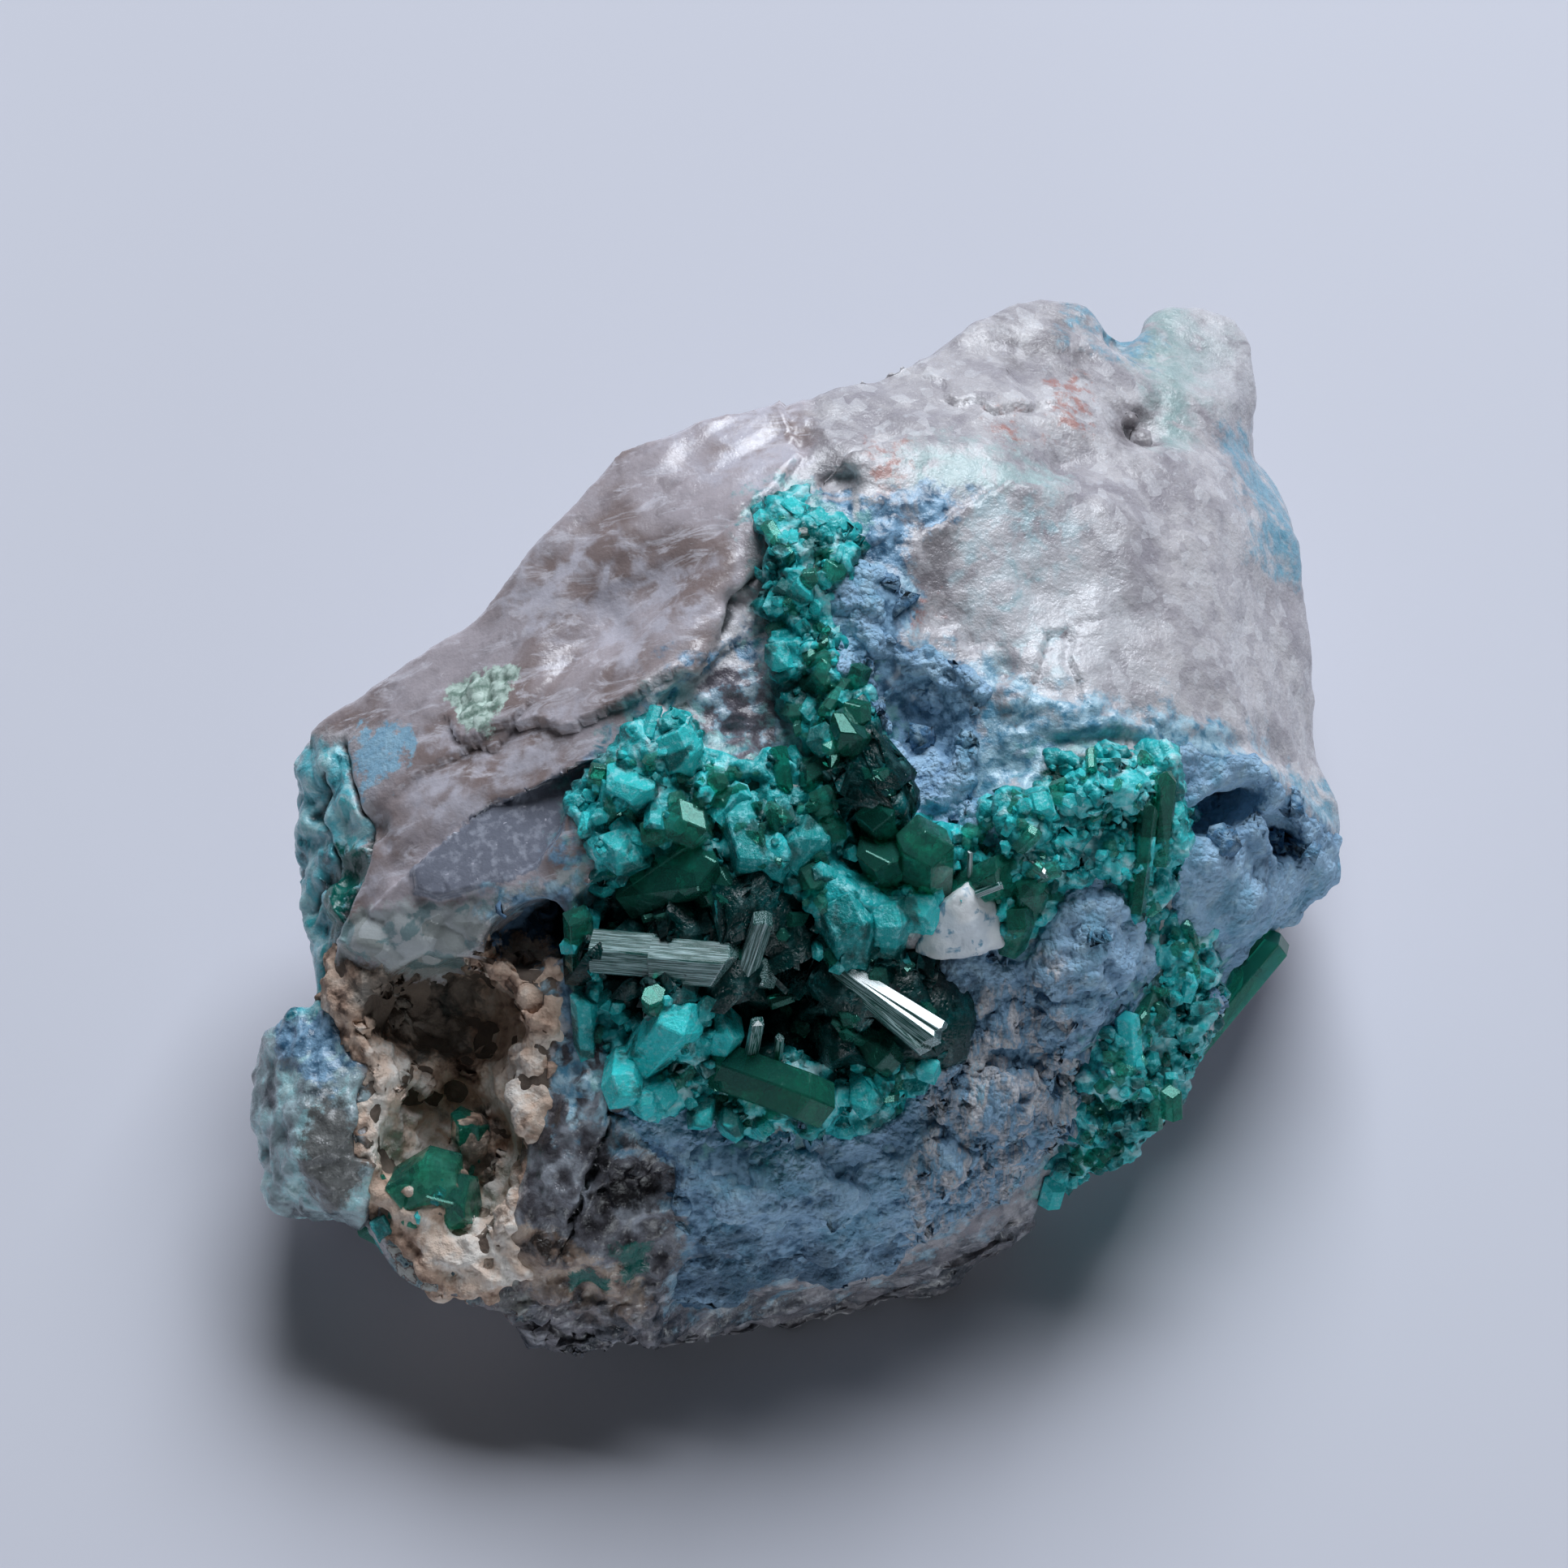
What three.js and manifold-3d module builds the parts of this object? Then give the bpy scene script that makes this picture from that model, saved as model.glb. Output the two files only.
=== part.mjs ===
// Malachite and quartz specimen: a broken block of quartz with green crystals, blue crusts and a tan vug.
// Lengths are millimetres. The stone is described face on, as [across, up, toward the viewer],
// and is then tipped back by LEAN so that its flat break lies on the ground, +Z up.
import * as THREE from 'three';
import { ConvexGeometry } from 'three/addons/geometries/ConvexGeometry.js';
import * as BufferGeometryUtils from 'three/addons/utils/BufferGeometryUtils.js';
import Module from 'manifold-3d';

const LEAN = 60;          // degrees between the ground and the direction the stone faces
const GROUND = -20;       // height of the flat break below the middle of the described face
const BLUNT = 0.34;       // cosine that parts blunt corners from sharp ones
const SEAT = 0.3;         // clearance between two minerals
const SPALLS = 36;        // angular plates left standing on the sides and the back

const wasm = await Module();
wasm.setup();

// ---------- shapes ----------
let seed = 1;
function random() {
  seed += 1;
  return THREE.MathUtils.seededRandom(seed * 7919);
}

function spread(amount) {
  return (random() - 0.5) * 2 * amount;
}

function solid(geometry) {
  const plain = new THREE.BufferGeometry();
  plain.setAttribute('position', geometry.getAttribute('position').clone());
  if (geometry.index) plain.setIndex(geometry.index.clone());
  const merged = BufferGeometryUtils.mergeVertices(plain, 1e-4);
  return new wasm.Manifold(new wasm.Mesh({
    numProp: 3,
    vertProperties: new Float32Array(merged.getAttribute('position').array),
    triVerts: new Uint32Array(merged.index.array),
  }));
}

function join(solids) {
  return solids.reduce((all, one) => all.add(one));
}

// A block with flat broken faces round the given corners. grow moves every face outward: a blunt
// corner goes along the mean of its faces, and a sharp one is bevelled along each of them.
function block(corners, grow = 0) {
  const hull = new ConvexGeometry(corners.map((c) => new THREE.Vector3(...c)));
  if (grow === 0) return solid(hull);
  const position = hull.getAttribute('position');
  const around = new Map();
  for (let i = 0; i < position.count; i += 3) {
    const [a, b, c] = [0, 1, 2].map((k) => new THREE.Vector3().fromBufferAttribute(position, i + k));
    const normal = new THREE.Triangle(a, b, c).getNormal(new THREE.Vector3());
    for (const corner of [a, b, c]) {
      const key = corner.toArray().join();
      if (!around.has(key)) around.set(key, { corner, normals: [] });
      around.get(key).normals.push(normal);
    }
  }
  const moved = [...around.values()].flatMap(({ corner, normals }) => {
    const way = new THREE.Vector3();
    normals.forEach((normal) => way.add(normal));
    way.normalize();
    const least = Math.min(...normals.map((normal) => normal.dot(way)));
    if (least > BLUNT) return [corner.clone().addScaledVector(way, grow / least)];
    return normals.map((normal) => corner.clone().addScaledVector(normal, grow));
  });
  return solid(new ConvexGeometry(moved));
}

// A rounded lump or, subtracted, a rounded hollow. grow makes it larger all round.
function lump(centre, radii, turn, grow, detail = 1) {
  const geometry = new THREE.IcosahedronGeometry(1, detail);
  geometry.scale(radii[0] + grow, radii[1] + grow, radii[2] + grow);
  geometry.applyMatrix4(new THREE.Matrix4().makeRotationFromEuler(new THREE.Euler(...turn)));
  geometry.translate(...centre);
  return solid(geometry);
}

// A six-sided prism with three rhombic faces at each end, from its foot to its tip.
function prism(foot, tip, width, grow = 0, roll = 0) {
  const start = new THREE.Vector3(...foot);
  const end = new THREE.Vector3(...tip);
  const axis = end.clone().sub(start).normalize();
  const length = start.distanceTo(end) + 2 * grow;
  const radius = width / 2 + grow;
  const drop = Math.min(radius * 0.5, length * 0.22);
  const points = [new THREE.Vector3(0, 0, 0), new THREE.Vector3(0, 0, length)];
  for (let i = 0; i < 6; i += 1) {
    const angle = roll + i * Math.PI / 3;
    const x = radius * Math.cos(angle);
    const y = radius * Math.sin(angle);
    const fall = drop * (1 + i % 2);
    points.push(new THREE.Vector3(x, y, fall));
    points.push(new THREE.Vector3(x, y, length - fall));
  }
  const turn = new THREE.Quaternion().setFromUnitVectors(new THREE.Vector3(0, 0, 1), axis);
  for (const point of points) {
    point.applyQuaternion(turn).add(start).addScaledVector(axis, -grow);
  }
  return solid(new ConvexGeometry(points));
}

// ---------- the quartz block ----------
// A corner given as it stands: across, away, above the ground.
function standing([x, y, z]) {
  const lean = THREE.MathUtils.degToRad(LEAN);
  const height = z + GROUND;
  const up = y * Math.sin(lean) + height * Math.cos(lean);
  const toward = height * Math.sin(lean) - y * Math.cos(lean);
  return [x, up, toward];
}

// unseen bulk behind and below, down past the flat break
const bulk = [
  [-10, -17, -1], [0, -19.5, -1], [9, -17.5, -1], [15, -10, -1], [17, 2, -1], [14, 12, -1], [3, 15, -1],
  [-9, 11, -1], [-14, 2, -1], [-13, -9, -1], [-21, -14, 8], [-12, -21, 6], [0, -20.5, 3], [13, -15, 6],
  [21, -5, 8], [25, 6, 9], [23, 18, 9], [11, 21, 8], [-3, 16, 9], [-15, 9, 9], [-22, 0, 9],
  [-22, 1, 16], [-13, 9, 20], [-4, 15, 22], [8, 18, 20], [18, 19, 17], [22, 8, 16], [18, -4, 14],
].map(standing);
const crag = [
  [6, 14, 2], [17, 12, 2], [24, 13, 5], [25, 26, 8], [17, 27, 10], [8, 22, 9], [2, 17, 8],
  [25, 26, 16], [17, 27.5, 18], [9, 23, 20], [2, 18, 20], [26, 12, 14],
].map(standing);
const slabEnd = [
  [-25, 2.2, -1], [-23.4, 3.4, -0.5], [-20.6, 5, 0], [-15.8, 8.2, 1.5], [-10.8, 8.4, 4],
  [-6.6, 4.6, 8], [-7.2, 2.8, 8.6], [-12.8, 0, 7.5], [-18.8, -4.2, 5.6], [-22.8, -8.2, 3.6],
  [-23, -6.8, 3.2], [-22.2, -1.4, 3], [-22, 1, 1.5], [-24, -4.8, -6], [-15.6, -3.2, -7],
  [-9.6, 1, -6], [-21.2, 2.8, -8], [-14.8, 8, -8],
];
const slabFace = [
  [-15.8, 8.2, 1.5], [-13.4, 10.8, 2], [-11.4, 13.4, 2], [-8.2, 17.2, 1], [-4, 18.6, 1],
  [1.4, 19.8, 0], [0.8, 15, 4.5], [-1.6, 13.2, 5.6], [-2.4, 8.8, 6.8], [-4.6, 6, 7.6],
  [-7.2, 2.8, 8.6], [-10.8, 2.6, 7], [-14, 7, -9], [-7, 14, -9], [0.6, 17.4, -9],
  [-2.8, 8.6, -4],
];
const slabFoot = [
  [-7.2, 2.8, 8.6], [-12.8, 0, 7.5], [-18.8, -4.2, 5.6], [-22.6, -8.2, 3.8], [-21.4, -8.6, 4],
  [-17.4, -9.6, 5], [-14.8, -6.6, 6.4], [-11.2, -5.4, 8], [-9.6, -5.2, 8.8], [-9.2, -3, 9.2],
  [-7.8, 1.4, 9], [-21.8, -6, -5], [-15.4, -4, -6], [-10.4, -3.2, -6],
];
const shoulder = [
  [0.8, 19.8, 0], [3.2, 20.8, -1.5], [6, 22, -3], [8.2, 22.6, -4], [11.8, 22, -3],
  [1.4, 15, 4.6], [3.4, 16.6, 4.2], [9.6, 17.6, 2], [13.6, 14.2, 3], [11.6, 8.4, 6],
  [6.2, 9.2, 6.6], [2.6, 11.2, 6], [1.4, 17.4, -10], [9.2, 21.6, -14], [12, 11.2, -6],
];
const crown = [
  [7.8, 22.6, -4], [9.8, 23.2, -5], [11.6, 25.2, -7.5], [13.4, 25.8, -8.5], [16, 25.2, -9],
  [17.6, 23.6, -9], [19.2, 21, -7], [18, 17, -2], [13.8, 18.6, -1], [9.6, 16.6, 2],
  [10.2, 22.8, -13], [14.2, 25.2, -17], [18.2, 23.2, -18], [14.6, 17.6, -14],
];
const knob = [
  [18.2, 23, -9.5], [18.8, 24.4, -12], [19.8, 25.2, -13], [22.4, 25.8, -14], [24.2, 25.2, -14],
  [25.2, 23.4, -13.5], [25.2, 20.2, -12.5], [25, 18.2, -11.5], [20.6, 21.2, -8.2],
  [18.2, 18.8, -5], [21.8, 17.2, -6], [20.4, 25, -19], [24.6, 24.6, -20], [25.4, 18.8, -20],
  [20, 19.6, -19],
];
const flank = [
  [11.6, 15, 3], [18.2, 17.8, -2.5], [22.6, 17.2, -6], [24.8, 17.4, -10.5], [25.6, 14.6, -10],
  [27, 13, -9.5], [27.4, 10.8, -9], [27.8, 5, -7.8], [28.4, 1.6, -7], [10.6, 7.6, 6.4],
  [14.6, 3.4, 7.2], [19.2, 3.4, 5], [23.2, 1, 1.6], [26.2, 0.2, -3], [22.2, 11, -0.5],
  [17.8, 13, 2.5], [26.4, 17.2, -20], [27.6, 11, -20], [27.8, 2.8, -17], [19.2, 14.4, -18],
];
const rightLobe = [
  [22.8, 1.2, 2], [26, 0.6, -2.5], [28.2, 1.8, -7], [28.8, -0.8, -6], [29.2, -2, -6.5],
  [29, -4.8, -8], [27.2, -6, -7.5], [25.2, -7.2, -6], [23.2, -6.4, -2.5], [22.2, -3.8, 0],
  [24.8, -1.8, -2], [26.6, -2.2, -4], [27.8, 1.6, -16], [29, -3.2, -15], [25, -6.8, -15],
];
const rightMass = [
  [9.4, 5.4, 7], [14.6, 3.4, 7.2], [19.2, 3.4, 5], [22, 0.6, 2.2], [21.2, -3.8, 1.6],
  [24.2, -6.8, -3], [24.4, -10.8, -7], [22.8, -12.6, -7], [21.4, -13.6, -6], [18.8, -9.6, 1],
  [17.4, -5.6, 4.4], [15.2, -4.2, 6], [9.4, -1.4, 7.5], [15.4, -12.4, 2], [12.8, -9.6, 4.6],
  [23.2, -8, -14], [16.6, -12.2, -12], [14.4, 2.8, -10],
];
const heart = [
  [1.4, 13.4, 4], [-2.6, 7.6, 6], [-6.8, 4.2, 7], [-9.2, 0.2, 7], [-9.8, -5.4, 6.5],
  [-9.4, -11.2, 6], [-7.6, -16, 6], [-4.8, -17.6, 5.6], [1.4, -17.6, 5], [8, -14.8, 4.5],
  [13.2, -10.8, 4.6], [13.6, -4.6, 6], [9.4, -1.4, 7], [9.8, 5, 6.6], [3.8, 8.4, 6],
  [-0.6, -4.6, 7], [-4.6, -0.6, 7.5], [1.4, 2.8, -10], [-7.2, -10, -10], [10, -10, -10],
];
const lowFace = [
  [-9, -13.6, 6.8], [-7.2, -16.2, 7], [-5, -19.2, 6.4], [-0.2, -17.2, 6], [7.4, -14.4, 5],
  [13.2, -11.2, 4], [15.8, -12.6, 1.5], [14, -20.4, -3], [13, -22.4, -4], [11.6, -24.4, -5],
  [9, -25, -4.5], [1.4, -26, -2], [-4.4, -26.2, 1], [-4.8, -22.6, 3.6], [1.4, -21.4, 3.6],
  [6.8, -20.2, 2.6], [10.8, -17.8, 1.5], [12.2, -23, -12], [-2.8, -25.4, -9], [-7, -14.2, -8],
];
const lowRim = [
  [-6, -24.4, 1.5], [1.4, -25.4, -2.5], [8.6, -25, -5], [12.8, -23, -5.5], [11.4, -24.6, -6.5],
  [9.2, -26.2, -7], [3.6, -28, -7], [1.4, -28.6, -6.5], [-2.8, -29, -5.5], [-4.8, -28.8, -4.5],
  [-8.6, -29.2, -2.5], [-10.2, -28.8, 0], [1.4, -25.8, -13], [10.2, -23.2, -13], [-7, -27, -9],
];
const lowLeft = [
  [-13.2, -12.8, 5], [-11.2, -9.4, 6], [-8.8, -12.8, 7.2], [-6.8, -17.6, 7], [-5, -19.2, 6.6],
  [-4.8, -22.6, 4.4], [-5.2, -26.2, 1.6], [-7.8, -28.8, -0.5], [-10.6, -29.6, 1],
  [-11.8, -28.8, 1.6], [-13.4, -27.6, 2.4], [-15, -26, 3], [-13.2, -21.6, 5.4],
  [-10.8, -20.8, 6.6], [-12.4, -15.2, 5.6], [-11.2, -26.8, -7], [-7, -25.2, -8],
  [-11.2, -12, -7], [-14.6, -22.4, -5],
];
const vugBody = [
  [-23.2, -8.8, 2.4], [-10.8, -5.8, 6], [-10.8, -13.6, 5.4], [-12.8, -19.8, 4.6],
  [-13.4, -27.6, 2.4], [-16, -26.4, 2.6], [-18.4, -26, 2], [-20, -24.8, 1.6],
  [-21, -22.8, 1.6], [-21.6, -19.6, 1.6], [-23.2, -13.4, 2], [-23.2, -10, -8], [-14, -9.2, -9],
  [-14.6, -25.2, -6], [-21, -22.6, -6], [-23.2, -16.2, -7],
];
const lobe = [
  [-26.6, -12.4, 0], [-25.6, -11.8, 0.5], [-24.6, -11.2, 1], [-22.4, -13, 2.4],
  [-21, -14.4, 2.8], [-21.2, -17.8, 3.4], [-20.4, -19.4, 3.2], [-21, -22.8, 2],
  [-23.6, -22.2, 0.6], [-25.2, -22, 0], [-26, -21.8, -0.5], [-26.8, -21, -0.8],
  [-27.4, -18, -1], [-27.4, -15.8, -1], [-24, -15.2, 3.6], [-24.8, -18.6, 3.8],
  [-22.8, -20.2, 3.4], [-26.6, -14.2, -7], [-26.4, -20, -6.5], [-21.8, -22.6, -6],
  [-22.8, -14.2, -7],
];
const fin = [
  [-25.2, 1.8, -1.5], [-23.4, 3.4, -0.5], [-21.8, 3.6, 0.5], [-22, -1.4, 2.4],
  [-21.4, -3.4, 3], [-22, -5.4, 2.6], [-23, -8.2, 2.4], [-22.6, -11.2, 2], [-23.8, -10.8, 0.6],
  [-24.2, -9.2, -0.4], [-24.6, -7.6, -1], [-25.6, -4.6, -2], [-25.2, -2.4, -2],
  [-25.2, -1, -2.4], [-25.4, 0.2, -2.4], [-24.2, 1.2, -9], [-25, -4.8, -9], [-23.2, -10.8, -7],
];

const saddle = [
  [-1.2, 16.6, 3], [3.9, 16.6, 3.5], [1.4, 19.2, -0.5], [1.4, 13.3, 4.2], [-2.7, 13.3, 4],
  [1.4, 18, -10], [-0.7, 14.5, -8], [4, 15.5, -8],
];
const lowRight = [
  [20.6, -13.6, -6], [19.4, -15.6, -5.5], [17.6, -17.8, -5], [15.3, -19.3, -4.6], [13.6, -20, -4],
  [15.6, -13.4, 1], [18.4, -11.7, 0.4], [20.4, -7.6, -1], [18.8, -14.6, -14], [15.3, -18.6, -13],
];
// the solid middle, wholly inside, so that no hollow is left between the outer blocks
const middle = [
  [-20, 0, -3], [-20, -9, -3], [-18, -20, -4], [-8, -23, -5], [4, -21, -6], [12, -15, -5], [19, -8, -6],
  [23, 2, -9], [21, 13, -10], [14, 19, -11], [4, 15, -5], [-8, 9, -3], [-15, 4, -3], [-10, -16, -15],
  [10, -10, -15], [12, 10, -17], [-8, 4, -15], [0, 12, -16], [18, 4, -16],
];
const upperMiddle = [
  [-8, 4, 3], [-6, -6, 3], [0, 4, 4], [5, 13, 2], [13, 14, 0], [19, 10, -2], [20, 3, 0], [14, -1, 3],
  [6, -1, 3.5], [16, 17, -8], [22, 14, -12], [8, 19, -8], [0, 14, -4], [10, 6, -10], [22, 2, -8],
  [16, -8, -4], [-6, 8, -8],
];
const crownMiddle = [
  [12, 14, -1], [16, 16, -3], [20, 18, -8], [22, 20, -13], [15, 22, -11], [11, 20, -8], [12, 12, -10],
  [20, 14, -14], [18, 20, -16],
];
// the brow above the blue pocket
const brow = [
  [6.8, 9.9, 5.6], [9.5, 9.9, 5.5], [13.2, 9.8, 4.5], [13.8, 6.5, 5.6], [13.2, 4.6, 6.3], [10.5, 4.4, 6.7],
  [8.6, 4.4, 6.7], [7, 7.2, 6.6], [7, 9, 0], [13, 9, 0], [13, 5, 0], [8, 5, 0],
];

const blocks = [
  middle, upperMiddle, crownMiddle, brow, saddle, lowRight, slabEnd, slabFace, slabFoot, shoulder, crown, knob, flank,
  rightLobe, rightMass, heart, lowFace, lowRim, lowLeft, vugBody, lobe, fin, bulk, crag,
];

// hollows: middle, radii, turn
const hollows = [
  [[-17, -12.6, 5], [4.6, 4, 7], [0.2, 0, 0.2]],               // upper part of the tan vug
  [[-16.8, -18.2, 4.2], [4, 5.2, 6.6], [0, 0.1, -0.1]],        // lower part of the tan vug
  [[-12.6, -7.6, 6.6], [2.7, 1.8, 4.6], [0, 0, 0.5]],          // dark recess under the slab
  [[-1.4, -10.2, 8], [7.8, 4.8, 5.8], [0, 0, -0.05]],          // central pocket
  [[4, -11.4, 7.4], [4.8, 2.8, 5.2], [0, 0, -0.4]],
  [[6.8, 2.8, 8.8], [3.1, 4.2, 4.2], [0, 0, 0.1]],             // blue pocket
  [[22.6, -1.2, 2.6], [2.9, 1.6, 4.4], [0, 0.2, 0.35]],        // right cavity
  [[25.6, -2.6, -1], [2.4, 1.4, 3], [0, 0.3, -0.5]],
  [[-12.4, 12.8, 14], [17.5, 6.6, 12], [-0.44, -0.33, 0.66]],     // shell-like break across the slab
  [[17.8, 23.6, -9], [0.9, 0.8, 3], [0, 0, 0]],                // notch beside the corner knob
  [[16.2, 6.2, 8.4], [1.7, 2, 1.8], [0, 0, 0.4]],              // dents in the upper quartz
  [[20, 8.4, 5.6], [2.2, 1.4, 1.8], [0, 0, 0.2]],
  [[13.6, 19.4, 1.6], [2.4, 1.2, 2.6], [0, 0, -0.6]],
  [[3, 15.2, 6], [1.4, 1.8, 2.2], [0, 0, 0.2]],
];

function threeOf(body) {
  const mesh = body.getMesh();
  const geometry = new THREE.BufferGeometry();
  const points = new Float32Array(mesh.vertProperties.length / mesh.numProp * 3);
  for (let i = 0; i < points.length / 3; i += 1) {
    for (let k = 0; k < 3; k += 1) points[3 * i + k] = mesh.vertProperties[i * mesh.numProp + k];
  }
  geometry.setAttribute('position', new THREE.BufferAttribute(points, 3));
  geometry.setIndex([...mesh.triVerts]);
  return geometry;
}

// where a line from outside first meets a body
function firstHit(geometry) {
  const target = new THREE.Mesh(geometry, new THREE.MeshBasicMaterial({ side: THREE.DoubleSide }));
  const ray = new THREE.Raycaster();
  return (from, way) => {
    ray.set(from, way);
    const hit = ray.intersectObject(target)[0];
    if (!hit) return null;
    return { point: hit.point, normal: hit.face.normal.clone() };
  };
}

// angular plates on the sides and the back, spread evenly over the block
const strike = firstHit(threeOf(join(blocks.map((corners) => block(corners)))));
for (let i = 0; i < SPALLS; i += 1) {
  const around = i * 2.39996;
  const rise = 1 - 2 * (i + 0.5) / SPALLS;
  const flat = Math.sqrt(1 - rise * rise);
  const way = new THREE.Vector3(flat * Math.cos(around), flat * Math.sin(around), rise);
  if (way.z > -0.5) continue;
  const spot = strike(new THREE.Vector3(1, -2, -6).addScaledVector(way, 60), way.negate());
  if (!spot) continue;
  const corners = [];
  for (let k = 0; k < 9; k += 1) {
    const corner = new THREE.Vector3(spread(1), spread(1), spread(1)).normalize();
    corner.addScaledVector(spot.normal, -0.65 * corner.dot(spot.normal)).multiplyScalar(5 + spread(1));
    corners.push(corner.addScaledVector(spot.normal, -0.6).add(spot.point).toArray());
  }
  blocks.push(corners);
}

function carved(body, list, grow = 0) {
  return body.subtract(join(list.map(([middle, radii, turn]) => lump(middle, radii, turn, -grow))));
}

function wholeStone(grow) {
  return carved(join(blocks.map((corners) => block(corners, grow))), hollows, grow);
}
const stone = wholeStone(0);
const seat = wholeStone(SEAT);

// ---------- growing on the stone ----------
let drop = firstHit(threeOf(stone));
function ground(across, up) {
  return drop(new THREE.Vector3(across, up, 60), new THREE.Vector3(0, 0, -1));
}

function inside(across, up, outline) {
  let within = false;
  for (let i = 0, j = outline.length - 1; i < outline.length; j = i, i += 1) {
    const [x1, y1] = outline[i];
    const [x2, y2] = outline[j];
    if ((y1 > up) !== (y2 > up) && across < (x2 - x1) * (up - y1) / (y2 - y1) + x1) within = !within;
  }
  return within;
}

// spots over an outline, spaced like grown lumps, each with its place on the stone
function spots(outline, spacing) {
  const found = [];
  const xs = outline.map((p) => p[0]);
  const ys = outline.map((p) => p[1]);
  let row = 0;
  for (let y = Math.min(...ys); y <= Math.max(...ys); y += spacing * 0.87) {
    row += 1;
    for (let x = Math.min(...xs) + (row % 2) * spacing / 2; x <= Math.max(...xs); x += spacing) {
      const across = x + spread(spacing * 0.25);
      const up = y + spread(spacing * 0.25);
      if (!inside(across, up, outline)) continue;
      const spot = ground(across, up);
      if (spot) found.push(spot);
    }
  }
  return found;
}

// rounded crust: [middle, radii, turn] of each lump, sunk so that a cap of it shows
function crust(outline, spacing, size, sunk) {
  return spots(outline, spacing).map(({ point, normal }) => {
    const wide = size * (1 + spread(0.2));
    const middle = point.clone().addScaledVector(normal, -sunk * wide);
    return [middle.toArray(), [wide, wide * 0.92, wide * 0.85], [spread(1), spread(1), spread(1)]];
  });
}

// crystals: [foot, tip, width] of each, standing out from the stone with some lean
function druse(outline, spacing, length, width, lean) {
  return spots(outline, spacing).map(({ point, normal }) => {
    const way = normal.clone();
    way.x += spread(lean);
    way.y += spread(lean);
    way.z += spread(lean);
    way.normalize();
    const tall = length * (1 + spread(0.35));
    const foot = point.clone().addScaledVector(way, -0.45 * tall);
    const tip = point.clone().addScaledVector(way, 0.55 * tall);
    return [foot.toArray(), tip.toArray(), width * (1 + spread(0.3))];
  });
}

// the angular masses of a mineral, which are let into the quartz
function bed(mineral, grow) {
  return (mineral.blocks ?? []).map((corners) => block(corners, grow));
}

// its lumps and crystals, which stand on the masses and on the quartz
function growth(mineral, grow) {
  const parts = [];
  for (const [middle, radii, turn] of mineral.lumps ?? []) {
    parts.push(lump(middle, radii, turn, grow));
  }
  for (const [middle, radii, turn] of mineral.rough ?? []) {
    parts.push(lump(middle, radii, turn, grow, 0));
  }
  for (const [foot, tip, width] of mineral.prisms ?? []) {
    parts.push(prism(foot, tip, width, grow));
  }
  return parts;
}

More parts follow.
